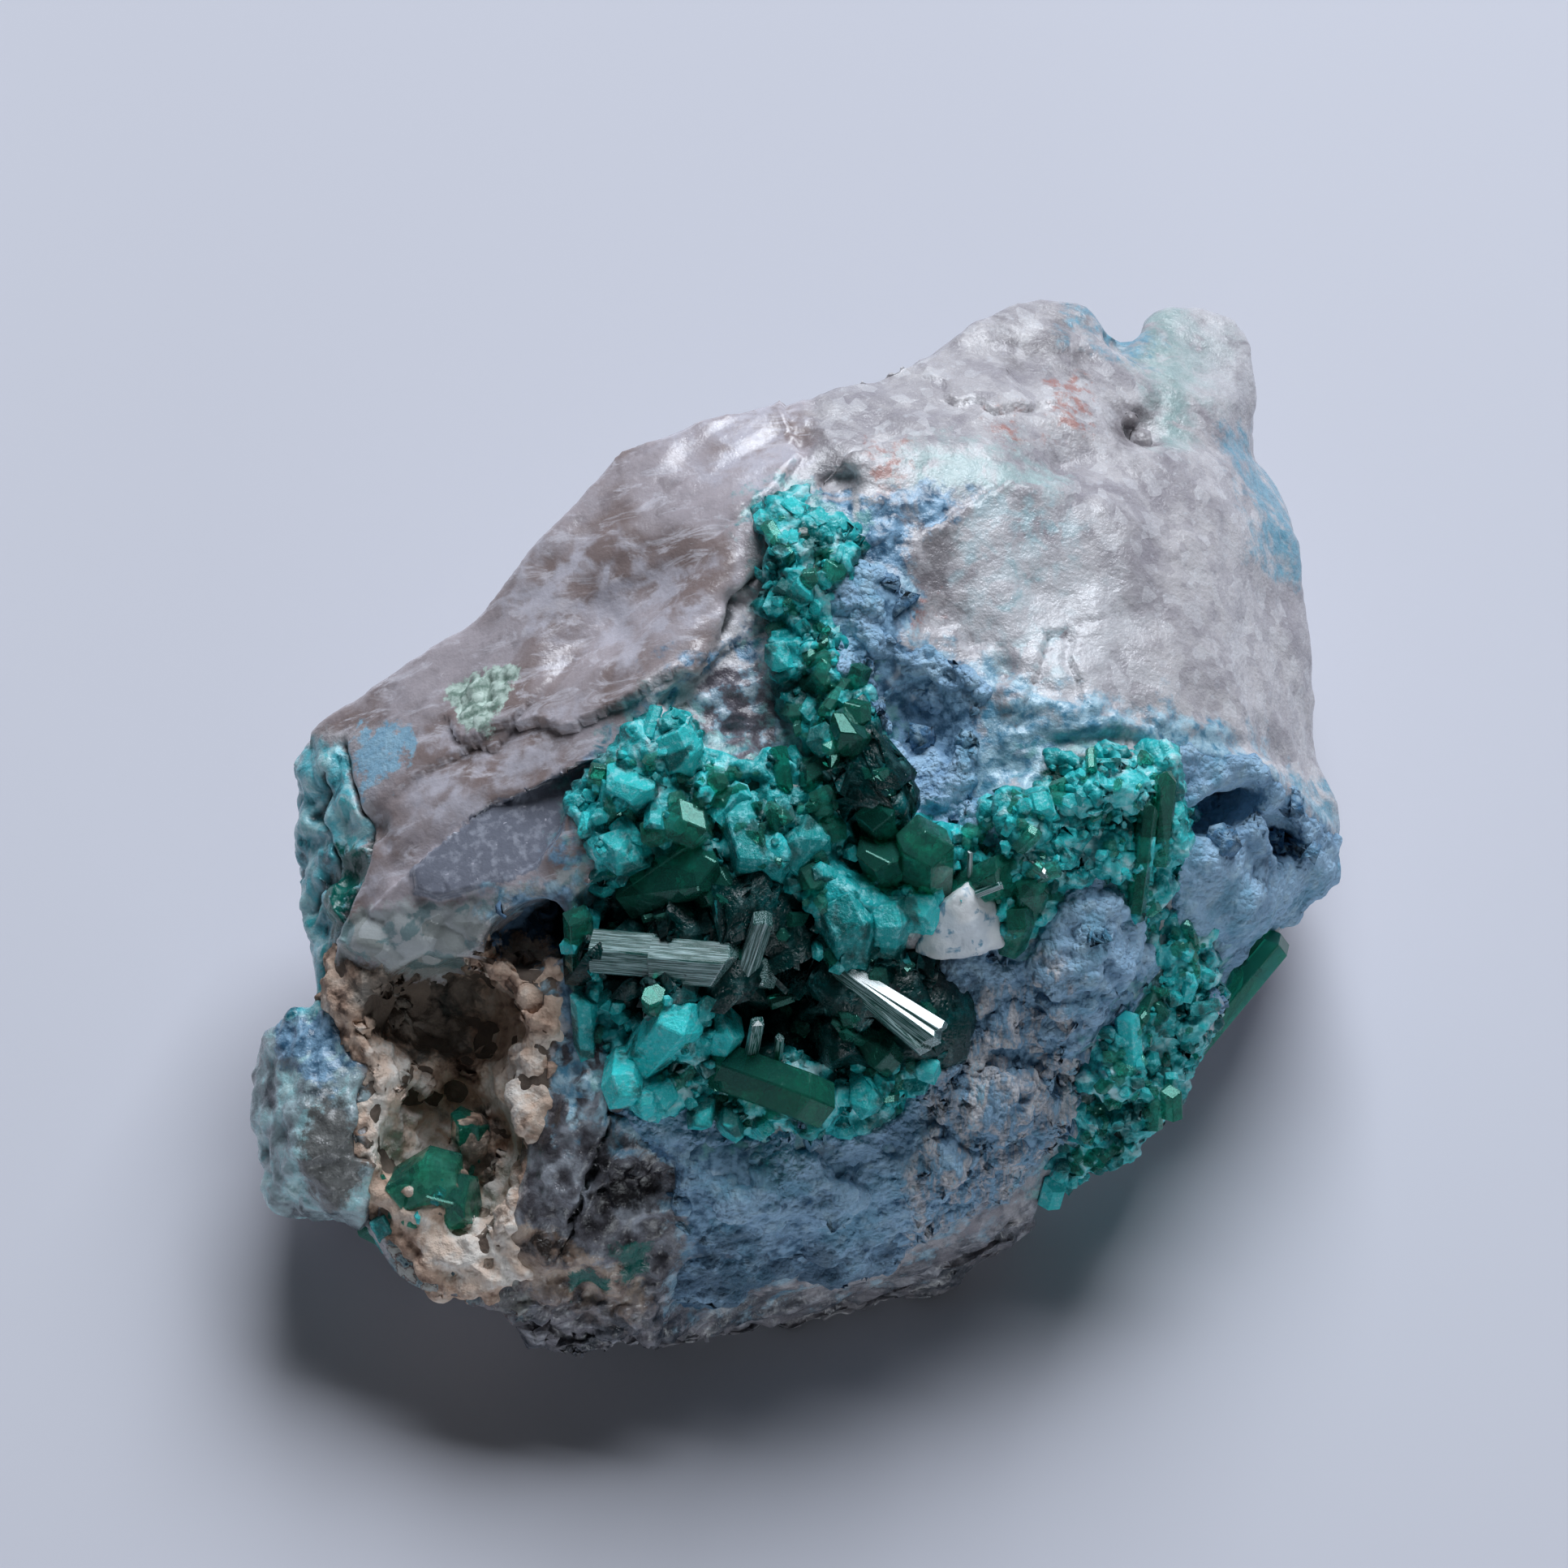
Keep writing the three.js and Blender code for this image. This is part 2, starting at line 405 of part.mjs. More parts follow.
// ---------- green crystals ----------
const greenCluster = {
  blocks: [
    [ // upper left mass
      [-10.2, -0.8, 7], [-7.3, 2.9, 7], [-5.1, 3.9, 7], [-3.9, 1.6, 8.4], [-7, 0.4, 9], [-8.6, -4.4, 7.8],
      [-4.6, -2, 9.4], [-4, -5.4, 7.6], [-8, -5.4, 6.6],
      [-1, 0.6, 8.8], [-9, -1, 4], [-3, 2, 4], [-5, -5, 3],
    ],
    [ // middle mass
      [-3.9, 1.6, 8], [0.4, 1.2, 8], [1, -0.6, 9.4], [4.6, 0, 7.6], [8.4, -2.8, 7.4], [8.6, -4.6, 7.4],
      [6.4, -7, 7.6], [4, -9.4, 7], [2, -9, 7], [-3.6, -5.2, 8.4], [-0.6, -3, 9.6], [3.4, -4.6, 9.2],
      [0, 0, 3.6], [6, -3, 3.6], [3, -8, 3], [-3, -4, 3],
    ],
    [ // lower seam
      [0.6, -0.8, 7.8], [4.4, -0.8, 7.6], [4.6, 3.4, 7.8], [3, 4.8, 7.4], [3.4, 8, 6.8], [-0.4, 7, 6.6],
      [-0.2, 4, 7], [2, 3, 8.6], [1, -0.6, 3.6], [3, 4, 3.6], [1, 7, 3.4],
    ],
    [ // upper seam
      [-0.2, 6, 6.8], [3.4, 6.4, 7], [3.2, 12.8, 5.6], [1, 14.2, 5], [-1.2, 14, 5.2], [-1.4, 11.8, 6],
      [1.4, 10, 7.4], [1, 6.4, 2.5], [1, 13, 1.5],
    ],
    [ // left edge
      [-10.8, -13.4, 6], [-9, -13.6, 6.6], [-8.6, -9, 6.2], [-9.2, -5.4, 7], [-10.6, -6.4, 6.8],
      [-10.8, -9, 6.6], [-9.6, -12, 2.4], [-9.4, -6, 2.6],
    ],
    [ // lower left
      [-10, -13, 6.2], [-8.4, -14.6, 6.8], [-6.6, -16.2, 7], [-4, -16, 6.6], [-3.4, -12.6, 6.6],
      [-5.4, -11.4, 7], [-8.4, -11, 6], [-8, -13, 2], [-4, -13, 2],
    ],
    [ // lower right
      [-3.8, -17, 6], [-0.8, -17.2, 6.2], [4, -17, 6], [7, -14.6, 6], [8.4, -13, 5.8], [6, -12.6, 6.2],
      [0, -13.6, 6.6], [-3.6, -13.4, 6.4], [-3, -15, 1.5], [5, -14, 1.2],
    ],
    [ // floor of the pocket
      [-10.2, -12, 3.8], [-9.8, -6.6, 4.4], [-3, -5.6, 4.4],
      [4, -8.6, 4.4], [8, -12, 3.8], [6, -13.6, 3.4],
      [-3, -13.8, 3.2], [-5, -9, 0], [4, -11, 0],
    ],
  ],
  rough: [
    [[-7.2, 1, 7.6], [1.8, 1.5, 1.8], [0, 0, 0.5]],
    [[-5.6, -1.6, 8.4], [1.8, 1.6, 1.6], [1, 0.2, 0]],
    [[-8.8, -2.4, 7], [1.5, 1.7, 1.6], [0.3, 1, 0]],
    [[-2, 0.6, 8], [1.6, 1.4, 1.5], [0.6, 0, 0.3]],
    [[3, -5.6, 8.6], [2, 1.8, 1.7], [0, 0.4, 0.2]],
    [[6.8, -5.8, 7.4], [1.5, 1.5, 1.4], [0, 0.7, 0]],
    [[-9.6, -9.6, 6.6], [1, 1.8, 1.1], [0, 0.3, 0]],
    [[-6.4, -14.8, 6.8], [1.6, 1.2, 1.2], [0.5, 0, 0.3]],
    [[0.8, 12, 6.2], [1.6, 1.3, 1.1], [0, 0.6, 0]],
  ],
  prisms: [
    [[-9.4, -8.4, 5.6], [-2.4, -8.6, 7.6], 2.7],       // striated prism lying across the pocket
    [[-2.6, -10, 5.2], [-0.9, -6.3, 8.8], 1.4],        // small upright one at its end
    [[1.4, -9, 3.6], [8, -13.2, 7.4], 2.4],            // large slanting prism
    [[2.4, -0.4, 5.4], [4.6, 3.9, 9], 2.3],            // dark prisms beside the blue pocket
    [[2.2, -3.6, 6], [5.6, -0.5, 9.8], 2.5],
    [[6, -5, 5.6], [7.4, -2.6, 9.4], 2.9],
    [[-2.2, -4, 5], [-0.8, -3.4, 10.6], 4.4],          // big frosted crystal of the middle
    [[-4.8, -3, 5], [-4.2, -3.4, 10], 3],
    [[3, -7, 5], [3.2, -8, 9.8], 3.2],
    [[5.4, -7, 5], [6, -7.4, 9.2], 2.4],
    [[-7.4, -0.4, 5], [-8, 0.6, 9.2], 2.8],            // rough crystals of the upper left
    [[-7.6, -3, 5.6], [-8.4, -3.4, 9.4], 2.6],
    [[-5.6, 1.2, 5.6], [-5.4, 2.8, 9.2], 2.4],
    [[-9.8, -13, 5], [-10.3, -6, 7.6], 1.5],           // blade on the left edge of the pocket
    [[-6.6, -13.8, 4.6], [-4.6, -11, 8.8], 3],         // frosted crystal at the lower edge
    [[-8, -14.4, 5], [-8.6, -15.4, 8.4], 2.2],
    [[-3.4, -14, 4.8], [2.4, -16.3, 8], 2.7],          // dark smooth crystal at the lower edge
    [[-2.4, -15, 4.4], [-2.8, -17.7, 7.4], 1.3],
    [[-3.6, -15, 4.6], [-4.4, -17, 7.6], 1.4],
    [[-1.6, -15.4, 4.4], [-1.2, -17.8, 7], 1.2],
    [[3.6, -14.6, 4.4], [4.2, -16.4, 7], 1.8],
    [[6.6, -13.6, 4], [7.6, -14.8, 6.6], 1.6],
    [[1.4, 5, 5.4], [2.6, 5.8, 8.8], 2],               // crystals of the seam
    [[0.4, 6.4, 5.8], [-0.6, 6.6, 8.4], 1.8],
    [[1.2, 9, 5], [0.6, 10.2, 8.2], 1.6],
    [[2, 10.2, 5], [2.8, 11.2, 7.6], 1.4],
    [[0.4, 12.4, 4], [-0.2, 13.4, 7], 1.7],
    [[1.6, 12.4, 4.2], [2.4, 12.6, 6.8], 1.3],
  ],
};
const greenRight = {
  blocks: [
    [
      [13, 1.6, 7.8], [16.5, 1.8, 7.4], [19.6, 1.6, 5.8],
      [19.5, -3.8, 4.8], [18.2, -8.3, 3], [17, -4.6, 6],
      [13.6, -4.2, 7.4], [15.5, -1, 8], [14, 0, 3], [18, -1, 1], [17, -6, 0],
    ],
    [
      [9, -1.8, 7.8], [11.2, -0.6, 8.2], [13.2, 1.4, 8],
      [13.8, -4.2, 7.6], [14, -6.6, 7], [11.6, -7.9, 6.6],
      [9.2, -5, 7.2], [11, -2, 3.6], [12, -6, 3],
    ],
  ],
};
const greenLower = {
  blocks: [[
    [15.8, -13.4, 2.6], [18.5, -11.6, 2], [19.2, -9.6, 2.2],
    [20.7, -7.8, 1], [22.6, -7.6, -1], [22.4, -10.4, -4],
    [21.8, -13.6, -6], [20.4, -15.9, -5], [17.4, -19.4, -3.8], [14, -20.8, -3], [15.2, -17.3, 0],
    [18, -12, -4], [17, -17, -7], [20, -13, -10],
  ]],
};

// ---------- blue crusts ----------
const blueLower = {
  blocks: [
    [ // below the pocket
      [-7.6, -16.6, 7.4], [-5, -19.3, 7], [-5.2, -21.4, 5.6],
      [-4.5, -24.4, 3], [1.4, -25, 0], [5.5, -24.4, -1],
      [8.3, -22.8, -1], [9.5, -17.5, 3.4], [4, -17, 5.8], [-0.7, -17.4, 6.4], [-3.5, -17, 6.8],
      [1.4, -21.4, 4.6], [6, -20.6, 3.4], [-5, -18.5, 3.5], [-3, -23, 0], [6, -22, -3], [8, -17, 0],
    ],
    [ // round the lower corner
      [8, -23, -1.4], [9.5, -17.2, 3.8], [8.6, -13.4, 5.4], [11, -11, 5.4], [13.8, -13.4, 3.4],
      [14, -17, 1.4], [11.8, -21, -1], [12, -15.6, 3.8], [9, -20, -3], [10, -13, 1], [13, -16, -2],
    ],
    [ // right of the pocket
      [11, -11, 5.6], [12.4, -8, 6], [13.4, -5, 6.6],
      [15.3, -4.3, 6.6], [17.6, -5.9, 5], [18.6, -9.2, 3.4],
      [18.2, -10.8, 2.6], [16.5, -12.7, 2.8], [13.6, -13.4, 3.6], [15, -8.5, 6.8], [13, -10, 2],
      [15, -6, 2], [17, -10, -1],
    ],
    [ // under the white chip
      [7.6, -10.4, 6.2], [8.8, -8.4, 7], [12.4, -8, 6.4], [12.6, -11, 5.4], [10.6, -12.4, 5.6],
      [8.8, -13, 5.4], [9, -10, 3], [11, -11, 2],
    ],
  ],
};
const blueUpper = {
  hollows: [[[6.8, 2.8, 9.4], [2.7, 3.7, 3.8], [0, 0, 0.1]]],
  blocks: [
    [
      [4.2, 5.8, 6.6], [7.6, 6.5, 7], [9.6, 4.6, 7], [9.4, 0, 7.2], [8.6, -1.6, 7.2], [5.4, -0.8, 6.8],
      [4.6, 1, 6.6], [5, 4, 2.6], [8, 4, 2.6], [7, 0, 2.8],
    ],
    [
      [2.4, 10.6, 6.4], [5.6, 10.2, 7], [7.4, 5, 7.2],
      [4.6, 5, 7.2], [2.6, 8, 7], [3.6, 9.4, 3], [6, 5, 3.4],
    ],
  ],
};
const blueRight = {
  hollows: hollows.slice(6, 8),
  blocks: [[
    [19.9, 1.9, 4.6], [22, 1.4, 3], [24.6, 1.3, 1.8],
    [26.2, -0.6, -1.4], [29, -2.4, -5.4], [28.6, -4.8, -6.4],
    [27, -6.1, -6], [25, -7.1, -4], [24.3, -9.9, -5.2], [22.6, -7.3, 0], [20.6, -7.4, 1.4],
    [19.8, -3.9, 3.4], [23, -4.6, 1.4], [26.8, -3.2, -2.4], [21, -2, -2], [25, -4, -9], [23, -8, -8],
  ]],
};

// ---------- the tan vug and the white chip ----------
const vugLining = {
  hollows: hollows.slice(0, 3),
  blocks: [[
    [-22.2, -9.6, 3.2], [-11, -6, 6.6], [-11, -13.6, 6], [-12.6, -19.8, 5.2], [-13.4, -26, 3.2],
    [-16, -26, 3], [-18.4, -25.6, 2.4], [-20.6, -23, 2.2], [-21.2, -19.6, 2.2], [-22.4, -13.4, 2.6],
    [-21, -11, -5], [-13.5, -9.5, -5], [-14.4, -24, -5], [-20, -21.5, -5],
  ]],
};
const vugCrystals = {
  rough: [[[-18, -21.4, -0.4], [2.8, 1.6, 1.8], [0, 0, 0.2]]],
  prisms: [
    [[-20, -22, 0], [-16.4, -20, 3.4], 3.4],
    [[-18.4, -22.4, 0], [-16.6, -23, 3], 2.2],
    [[-16.4, -20.8, -1], [-15.8, -16.8, 1.8], 1.9],
  ],
};
const chip = {
  blocks: [[
    [6.1, -7.6, 8.4], [6.8, -6.8, 9.2], [8.8, -5.4, 9.6], [9.2, -4.9, 9], [10.4, -6, 8.6], [10.9, -8, 8],
    [9.6, -8.4, 8.8], [7.8, -8.6, 8.8], [6.4, -8.2, 8.2], [7, -6.6, 4.8], [10, -6, 4.8], [10, -8, 4.6],
  ]],
};

// small crystals and rounded lumps, standing on what has been laid down so far
const bases = [greenRight, greenLower, blueLower, blueUpper, blueRight];
drop = firstHit(threeOf(join([stone, ...bases.flatMap((mineral) => bed(mineral, 0))])));
const rightPatch = [
  [9.6, -1.8], [11.2, -1], [13, 1], [16.5, 1.2], [19, 1], [18.9, -3.8], [17.8, -7.4], [16.6, -4.4],
  [13.6, -4.2], [13.6, -6.4], [11.6, -7.2], [9.8, -5],
];
greenRight.prisms = [
  ...druse(rightPatch, 2.5, 2.8, 1.6, 0.5),
  [[9.8, -2.6, 6], [12, -0.4, 9], 1.8],
  [[10, -3.6, 6], [13, -4.4, 8.6], 2],
  [[12, -5.6, 5], [10.4, -7.6, 8.4], 1.8],
];
const lowerPatch = [
  [16, -13.5], [18.5, -12], [19.4, -9.8], [20.7, -8.4], [22, -8.2], [21.8, -10.4], [21.2, -13.4],
  [19.8, -15.6], [17, -18.8], [14.6, -20], [15.6, -17],
];
greenLower.prisms = [
  ...druse(lowerPatch, 2.3, 3.2, 1.8, 0.6),
  [[20.6, -13.4, -6.4], [25.3, -7.7, -4.8], 2],      // long prism standing off the corner
];
const lowerBlue = [
  [-6.6, -17.4], [-4.6, -19.3], [-4.6, -23.4], [1.4, -24.2], [7.4, -22.4], [11, -19.5], [13.2, -16],
  [14, -13.2], [16.5, -12], [17.8, -10.4], [17.8, -8.8],
  [17, -6.6], [15.2, -5], [13.8, -5.6], [12.8, -8.6],
  [9, -9.6], [9.6, -12], [8.4, -16.4], [3.8, -17.8], [-3.5, -17.8],
];
blueLower.lumps = crust(lowerBlue, 4.3, 3, 0.6);
const upperBlue = [
  [3, 10], [5, 9.6], [5.8, 6], [9, 5], [9, -1], [5.6, -0.6], [4.8, 5.4], [3.2, 6],
];
blueUpper.lumps = crust(upperBlue, 2.8, 1.9, 0.55);
const rightBlue = [[20.6, 1], [24, 0.6], [27.8, -3], [27.4, -4.8], [23.8, -8.4], [20.8, -6.6]];
blueRight.lumps = crust(rightBlue, 2.9, 2.1, 0.55);

// ---------- finishing ----------
function largest(body) {
  const pieces = body.decompose();
  pieces.sort((a, b) => b.volume() - a.volume());
  return pieces[0];
}

function clear(mineral, earlier) {
  const parts = bed(mineral, 0);
  const stands = growth(mineral, 0);
  if (stands.length > 0) parts.push(join(stands).subtract(seat));
  let body = join(parts);
  if (mineral.hollows) body = carved(body, mineral.hollows);
  for (const other of earlier) {
    body = body.subtract(join([...bed(other, SEAT), ...growth(other, SEAT)]));
  }
  return largest(body);
}

function finish(body, name, colour, roughness) {
  const geometry = threeOf(body);
  geometry.rotateX(THREE.MathUtils.degToRad(90 - LEAN));
  geometry.translate(0, 0, -GROUND);
  const below = new THREE.BoxGeometry(120, 120, 20).translate(0, 0, -10);
  const rested = threeOf(largest(solid(geometry).subtract(solid(below))));
  rested.computeVertexNormals();
  const material = new THREE.MeshStandardMaterial({ color: colour, roughness, flatShading: true });
  const mesh = new THREE.Mesh(rested, material);
  mesh.name = name;
  return mesh;
}

const group = new THREE.Group();
group.name = 'malachite_and_quartz_specimen';

// each mineral keeps clear of those before it, and the quartz keeps clear of them all
const minerals = [
  [greenCluster, 'green_crystal_cluster', 0x0d6e58, 0.25],
  [chip, 'white_quartz_chip', 0xd8d6da, 0.5],
  [greenRight, 'right_green_crystals', 0x118a70, 0.3],
  [greenLower, 'lower_right_green_crystals', 0x0f7c62, 0.3],
  [blueLower, 'lower_blue_crust', 0x557893, 0.9],
  [blueUpper, 'upper_blue_crust', 0x4d7190, 0.9],
  [blueRight, 'right_blue_crust', 0x4f7392, 0.9],
  [vugCrystals, 'vug_green_crystals', 0x0b5747, 0.2],
  [vugLining, 'tan_vug_lining', 0xb79c86, 0.95],
];
const sockets = minerals.flatMap(([mineral]) => bed(mineral, SEAT));
group.add(finish(largest(stone.subtract(join(sockets))), 'quartz_matrix', 0xb9b3b6, 0.6));
minerals.forEach(([mineral, name, colour, roughness], i) => {
  const earlier = minerals.slice(0, i).map((row) => row[0]);
  group.add(finish(clear(mineral, earlier), name, colour, roughness));
});

// the middle of the ground outline becomes the origin
const box = new THREE.Box3().setFromObject(group);
const centre = box.getCenter(new THREE.Vector3());
for (const mesh of group.children) mesh.geometry.translate(-centre.x, -centre.y, 0);

export default group;
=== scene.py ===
# %% [markdown]
# # A rock with green crystals
# The real thing is a fist of quartz that broke out of a vein. Green crystals fill its pockets,
# slate-blue crusts have grown over its lower side, and a tan hollow opens at the lower left.
# Everything grew together, so the whole stone is first made as one closed skin from the packed
# solids, and each mineral is then modelled on that skin. That way nothing has a seam it should not have.

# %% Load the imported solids
import math
import random

import bpy
import numpy as np
from mathutils import Matrix, Vector, noise
from mathutils.bvhtree import BVHTree


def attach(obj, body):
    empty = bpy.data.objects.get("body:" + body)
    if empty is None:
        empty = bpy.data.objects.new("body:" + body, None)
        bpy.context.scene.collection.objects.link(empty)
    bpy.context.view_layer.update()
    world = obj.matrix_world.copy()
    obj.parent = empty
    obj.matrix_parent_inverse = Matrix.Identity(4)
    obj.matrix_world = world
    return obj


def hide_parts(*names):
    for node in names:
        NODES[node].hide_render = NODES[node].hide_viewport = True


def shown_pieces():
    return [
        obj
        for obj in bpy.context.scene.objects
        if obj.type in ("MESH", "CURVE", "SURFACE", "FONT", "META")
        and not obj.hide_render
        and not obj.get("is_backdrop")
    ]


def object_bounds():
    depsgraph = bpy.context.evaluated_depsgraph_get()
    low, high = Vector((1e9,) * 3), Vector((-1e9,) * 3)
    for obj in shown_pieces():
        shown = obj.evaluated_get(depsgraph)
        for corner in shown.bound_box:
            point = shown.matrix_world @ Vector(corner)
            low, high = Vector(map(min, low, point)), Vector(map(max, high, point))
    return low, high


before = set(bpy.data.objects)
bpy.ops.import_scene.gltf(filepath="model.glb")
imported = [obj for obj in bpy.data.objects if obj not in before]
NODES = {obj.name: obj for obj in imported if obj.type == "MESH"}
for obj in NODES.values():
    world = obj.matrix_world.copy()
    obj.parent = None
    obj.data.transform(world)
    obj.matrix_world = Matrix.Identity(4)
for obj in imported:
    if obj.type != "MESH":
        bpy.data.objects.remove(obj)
CAD_BOX = [list(corner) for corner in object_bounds()]
MM = 0.001
print("solids:", len(NODES), "box:", [[round(v / MM, 1) for v in corner] for corner in CAD_BOX])

# %% [markdown]
# ## A chart of the face
# The stone has one good face, and it looks up and toward the viewer. Places on it are given on a
# chart: a square 1932 units wide, seen from the camera's own place, with x to the right and y down.
# A chart place plus a depth is a point in space, and any point in space has a chart place.

# %% The chart and the camera's place
CHART = 1932
UNITS = 24.15                      # chart units in one millimetre at the stone's middle
REACH = 285.0                      # millimetres from the camera to the stone's middle
LEAN = math.radians(60)            # the camera's height above the horizon
HALF_VIEW = math.radians(8)        # half of the camera's angle of view
WINDOW = Vector((0.18, 0.7, 1.0))  # from the stone toward the window
FACE_DEPTH = 6                     # a vertex behind less stone than this, in millimetres, is on the face
FAR = 4                            # distances to an outline are kept up to this many millimetres
FLOOR_GAP = 0.02 * MM              # no vertex goes lower than this
STONE_LIMIT = 194000               # triangles of the stone at most
LAYER_LIMIT = 130000               # triangles of a crust at most
MIDDLE = Vector((-0.9, -2.585, 20.0))
RIGHT = Vector((1, 0, 0))
UP = Vector((0, math.sin(LEAN), math.cos(LEAN)))
OUT = Vector((0, -math.cos(LEAN), math.sin(LEAN)))
EYE = (MIDDLE + OUT * REACH) * MM


def chart_of(points):
    """Chart x, chart y and depth toward the viewer, in millimetres, of points in metres."""
    local = np.asarray(points, dtype=float) / MM - np.array(MIDDLE)
    across, up, out = (local @ np.array(axis) for axis in (RIGHT, UP, OUT))
    scale = UNITS * REACH / (REACH - out)
    return CHART / 2 + across * scale, CHART / 2 - up * scale, out


def place(x, y, depth):
    """The point in space at a chart place and a depth in millimetres."""
    scale = UNITS * REACH / (REACH - depth)
    across, up = (x - CHART / 2) / scale, (CHART / 2 - y) / scale
    return (MIDDLE + RIGHT * across + UP * up + OUT * depth) * MM


# %% [markdown]
# ## Camera, floor and light
# The camera comes first, because everything is judged from it. The stone lies on a plain pale floor.
# A soft window stands high behind it and a little to the right, so its shadow falls toward the
# viewer. A low weak light in front opens up the crusts that face the camera.

# %% Camera
camera_data = bpy.data.cameras.new("camera")
camera_data.sensor_width = 36
camera_data.lens = camera_data.sensor_width / 2 / math.tan(HALF_VIEW)
camera_data.clip_start, camera_data.clip_end = 0.01, 5
camera = bpy.data.objects.new("camera", camera_data)
camera.location = EYE
camera.rotation_euler = (math.radians(90) - LEAN, 0, 0)
bpy.context.scene.collection.objects.link(camera)
bpy.context.scene.camera = camera
bpy.context.scene.view_settings.view_transform = "Standard"
print("camera at", [round(v / MM) for v in camera.location], "mm")


# %% Floor and lights
def settle(node, values):
    """Gives some inputs of a node their fixed values."""
    for key, value in values.items():
        node.inputs[key].default_value = value


def soft_light(name, towards, distance, size, power, colour):
    """A square area light that looks at the stone from a given side."""
    lamp = bpy.data.lights.new(name, "AREA")
    lamp.size, lamp.energy, lamp.color = size, power, colour
    light = bpy.data.objects.new(name, lamp)
    light.location = Vector(towards).normalized() * distance
    light.rotation_euler = (-Vector(towards)).to_track_quat("-Z", "Y").to_euler()
    bpy.context.scene.collection.objects.link(light)
    return light


bpy.ops.mesh.primitive_plane_add(size=3, location=(0, 0.6, 0))
floor = bpy.context.object
floor.name = "floor"
paper = bpy.data.materials.new("pale_paper")
paper.use_nodes = True
settle(paper.node_tree.nodes["Principled BSDF"], {
    "Base Color": (0.68, 0.685, 0.755, 1), "Roughness": 0.9, "Specular IOR Level": 0.1})
floor.data.materials.append(paper)
floor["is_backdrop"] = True

world = bpy.data.worlds.new("daylight")
world.use_nodes = True
settle(world.node_tree.nodes["Background"], {"Color": (0.86, 0.92, 1.0, 1), "Strength": 0.02})
bpy.context.scene.world = world
soft_light("window", WINDOW, 0.8, 0.5, 7.0, (0.93, 0.985, 1.06))
soft_light("bounce", (0.25, -1.0, 0.16), 0.9, 0.26, 1.5, (0.88, 0.95, 1.0))

# %% [markdown]
# ## One closed skin
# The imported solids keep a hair's gap from each other. Copies of them are swollen a little, joined
# and remeshed into one even skin of small squares, which closes the gaps. Smoothing then takes the
# knife-sharp edges of the plain solids away, and the skin is drawn back to its true size.

# %% Helpers for whole pieces
def only(piece):
    """Deselects everything but one piece and makes it the active one."""
    if bpy.context.object and bpy.context.object.mode != "OBJECT":
        bpy.ops.object.mode_set(mode="OBJECT")
    bpy.ops.object.select_all(action="DESELECT")
    piece.select_set(True)
    bpy.context.view_layer.objects.active = piece


def modify(piece, kind, **settings):
    """Adds a modifier with the given settings and applies it."""
    only(piece)
    modifier = piece.modifiers.new(kind.lower(), kind)
    for key, value in settings.items():
        setattr(modifier, key, value)
    bpy.ops.object.modifier_apply(modifier=modifier.name)


def triangles(piece):
    """How many triangles a piece has."""
    return sum(len(p.vertices) - 2 for p in piece.data.polygons)


def points_of(piece):
    """All vertex places of a piece, as one array."""
    flat = np.empty(len(piece.data.vertices) * 3)
    piece.data.vertices.foreach_get("co", flat)
    return flat.reshape(-1, 3)


def normals_of(piece):
    """All vertex normals of a piece, as one array."""
    flat = np.empty(len(piece.data.vertices) * 3)
    piece.data.vertex_normals.foreach_get("vector", flat)
    return flat.reshape(-1, 3)


def move_to(piece, points):
    """Puts every vertex of a piece at its new place."""
    piece.data.vertices.foreach_set("co", np.asarray(points, dtype=float).ravel())
    piece.data.update()


def pick_faces(piece, chosen):
    """Selects the chosen faces of a piece in edit mode."""
    only(piece)
    bpy.ops.object.mode_set(mode="EDIT")
    bpy.ops.mesh.select_mode(type="FACE")
    bpy.ops.mesh.select_all(action="DESELECT")
    bpy.ops.object.mode_set(mode="OBJECT")
    piece.data.polygons.foreach_set("select", chosen)
    bpy.ops.object.mode_set(mode="EDIT")


# %% Join the solids and remesh them
SWELL = 0.22 * MM
GRID = 0.42 * MM
copies = []
for name, node in NODES.items():
    double = bpy.data.objects.new("stone_" + name, node.data.copy())
    bpy.context.scene.collection.objects.link(double)
    only(double)
    bpy.ops.object.mode_set(mode="EDIT")
    bpy.ops.mesh.select_all(action="SELECT")
    bpy.ops.mesh.remove_doubles(threshold=0.002 * MM)
    bpy.ops.object.mode_set(mode="OBJECT")
    modify(double, "DISPLACE", strength=SWELL, mid_level=0)
    copies.append(double)
bpy.ops.object.select_all(action="DESELECT")
for double in copies:
    double.select_set(True)
bpy.context.view_layer.objects.active = copies[0]
bpy.ops.object.join()
stone = bpy.context.object
stone.name = stone.data.name = "quartz_block"
stone.data.materials.clear()
modify(stone, "REMESH", mode="VOXEL", voxel_size=GRID)
modify(stone, "SMOOTH", factor=0.5, iterations=4)
modify(stone, "DISPLACE", strength=-SWELL, mid_level=0)
print("skin:", len(stone.data.polygons), "faces")

# %% [markdown]
# ## Zones
# Each mineral covers a patch of the face. A patch is drawn on the chart as an outline, and every
# vertex gets its distance to that outline in millimetres, positive inside. The materials read
# these distances and fray them with noise, so that no border looks drawn.

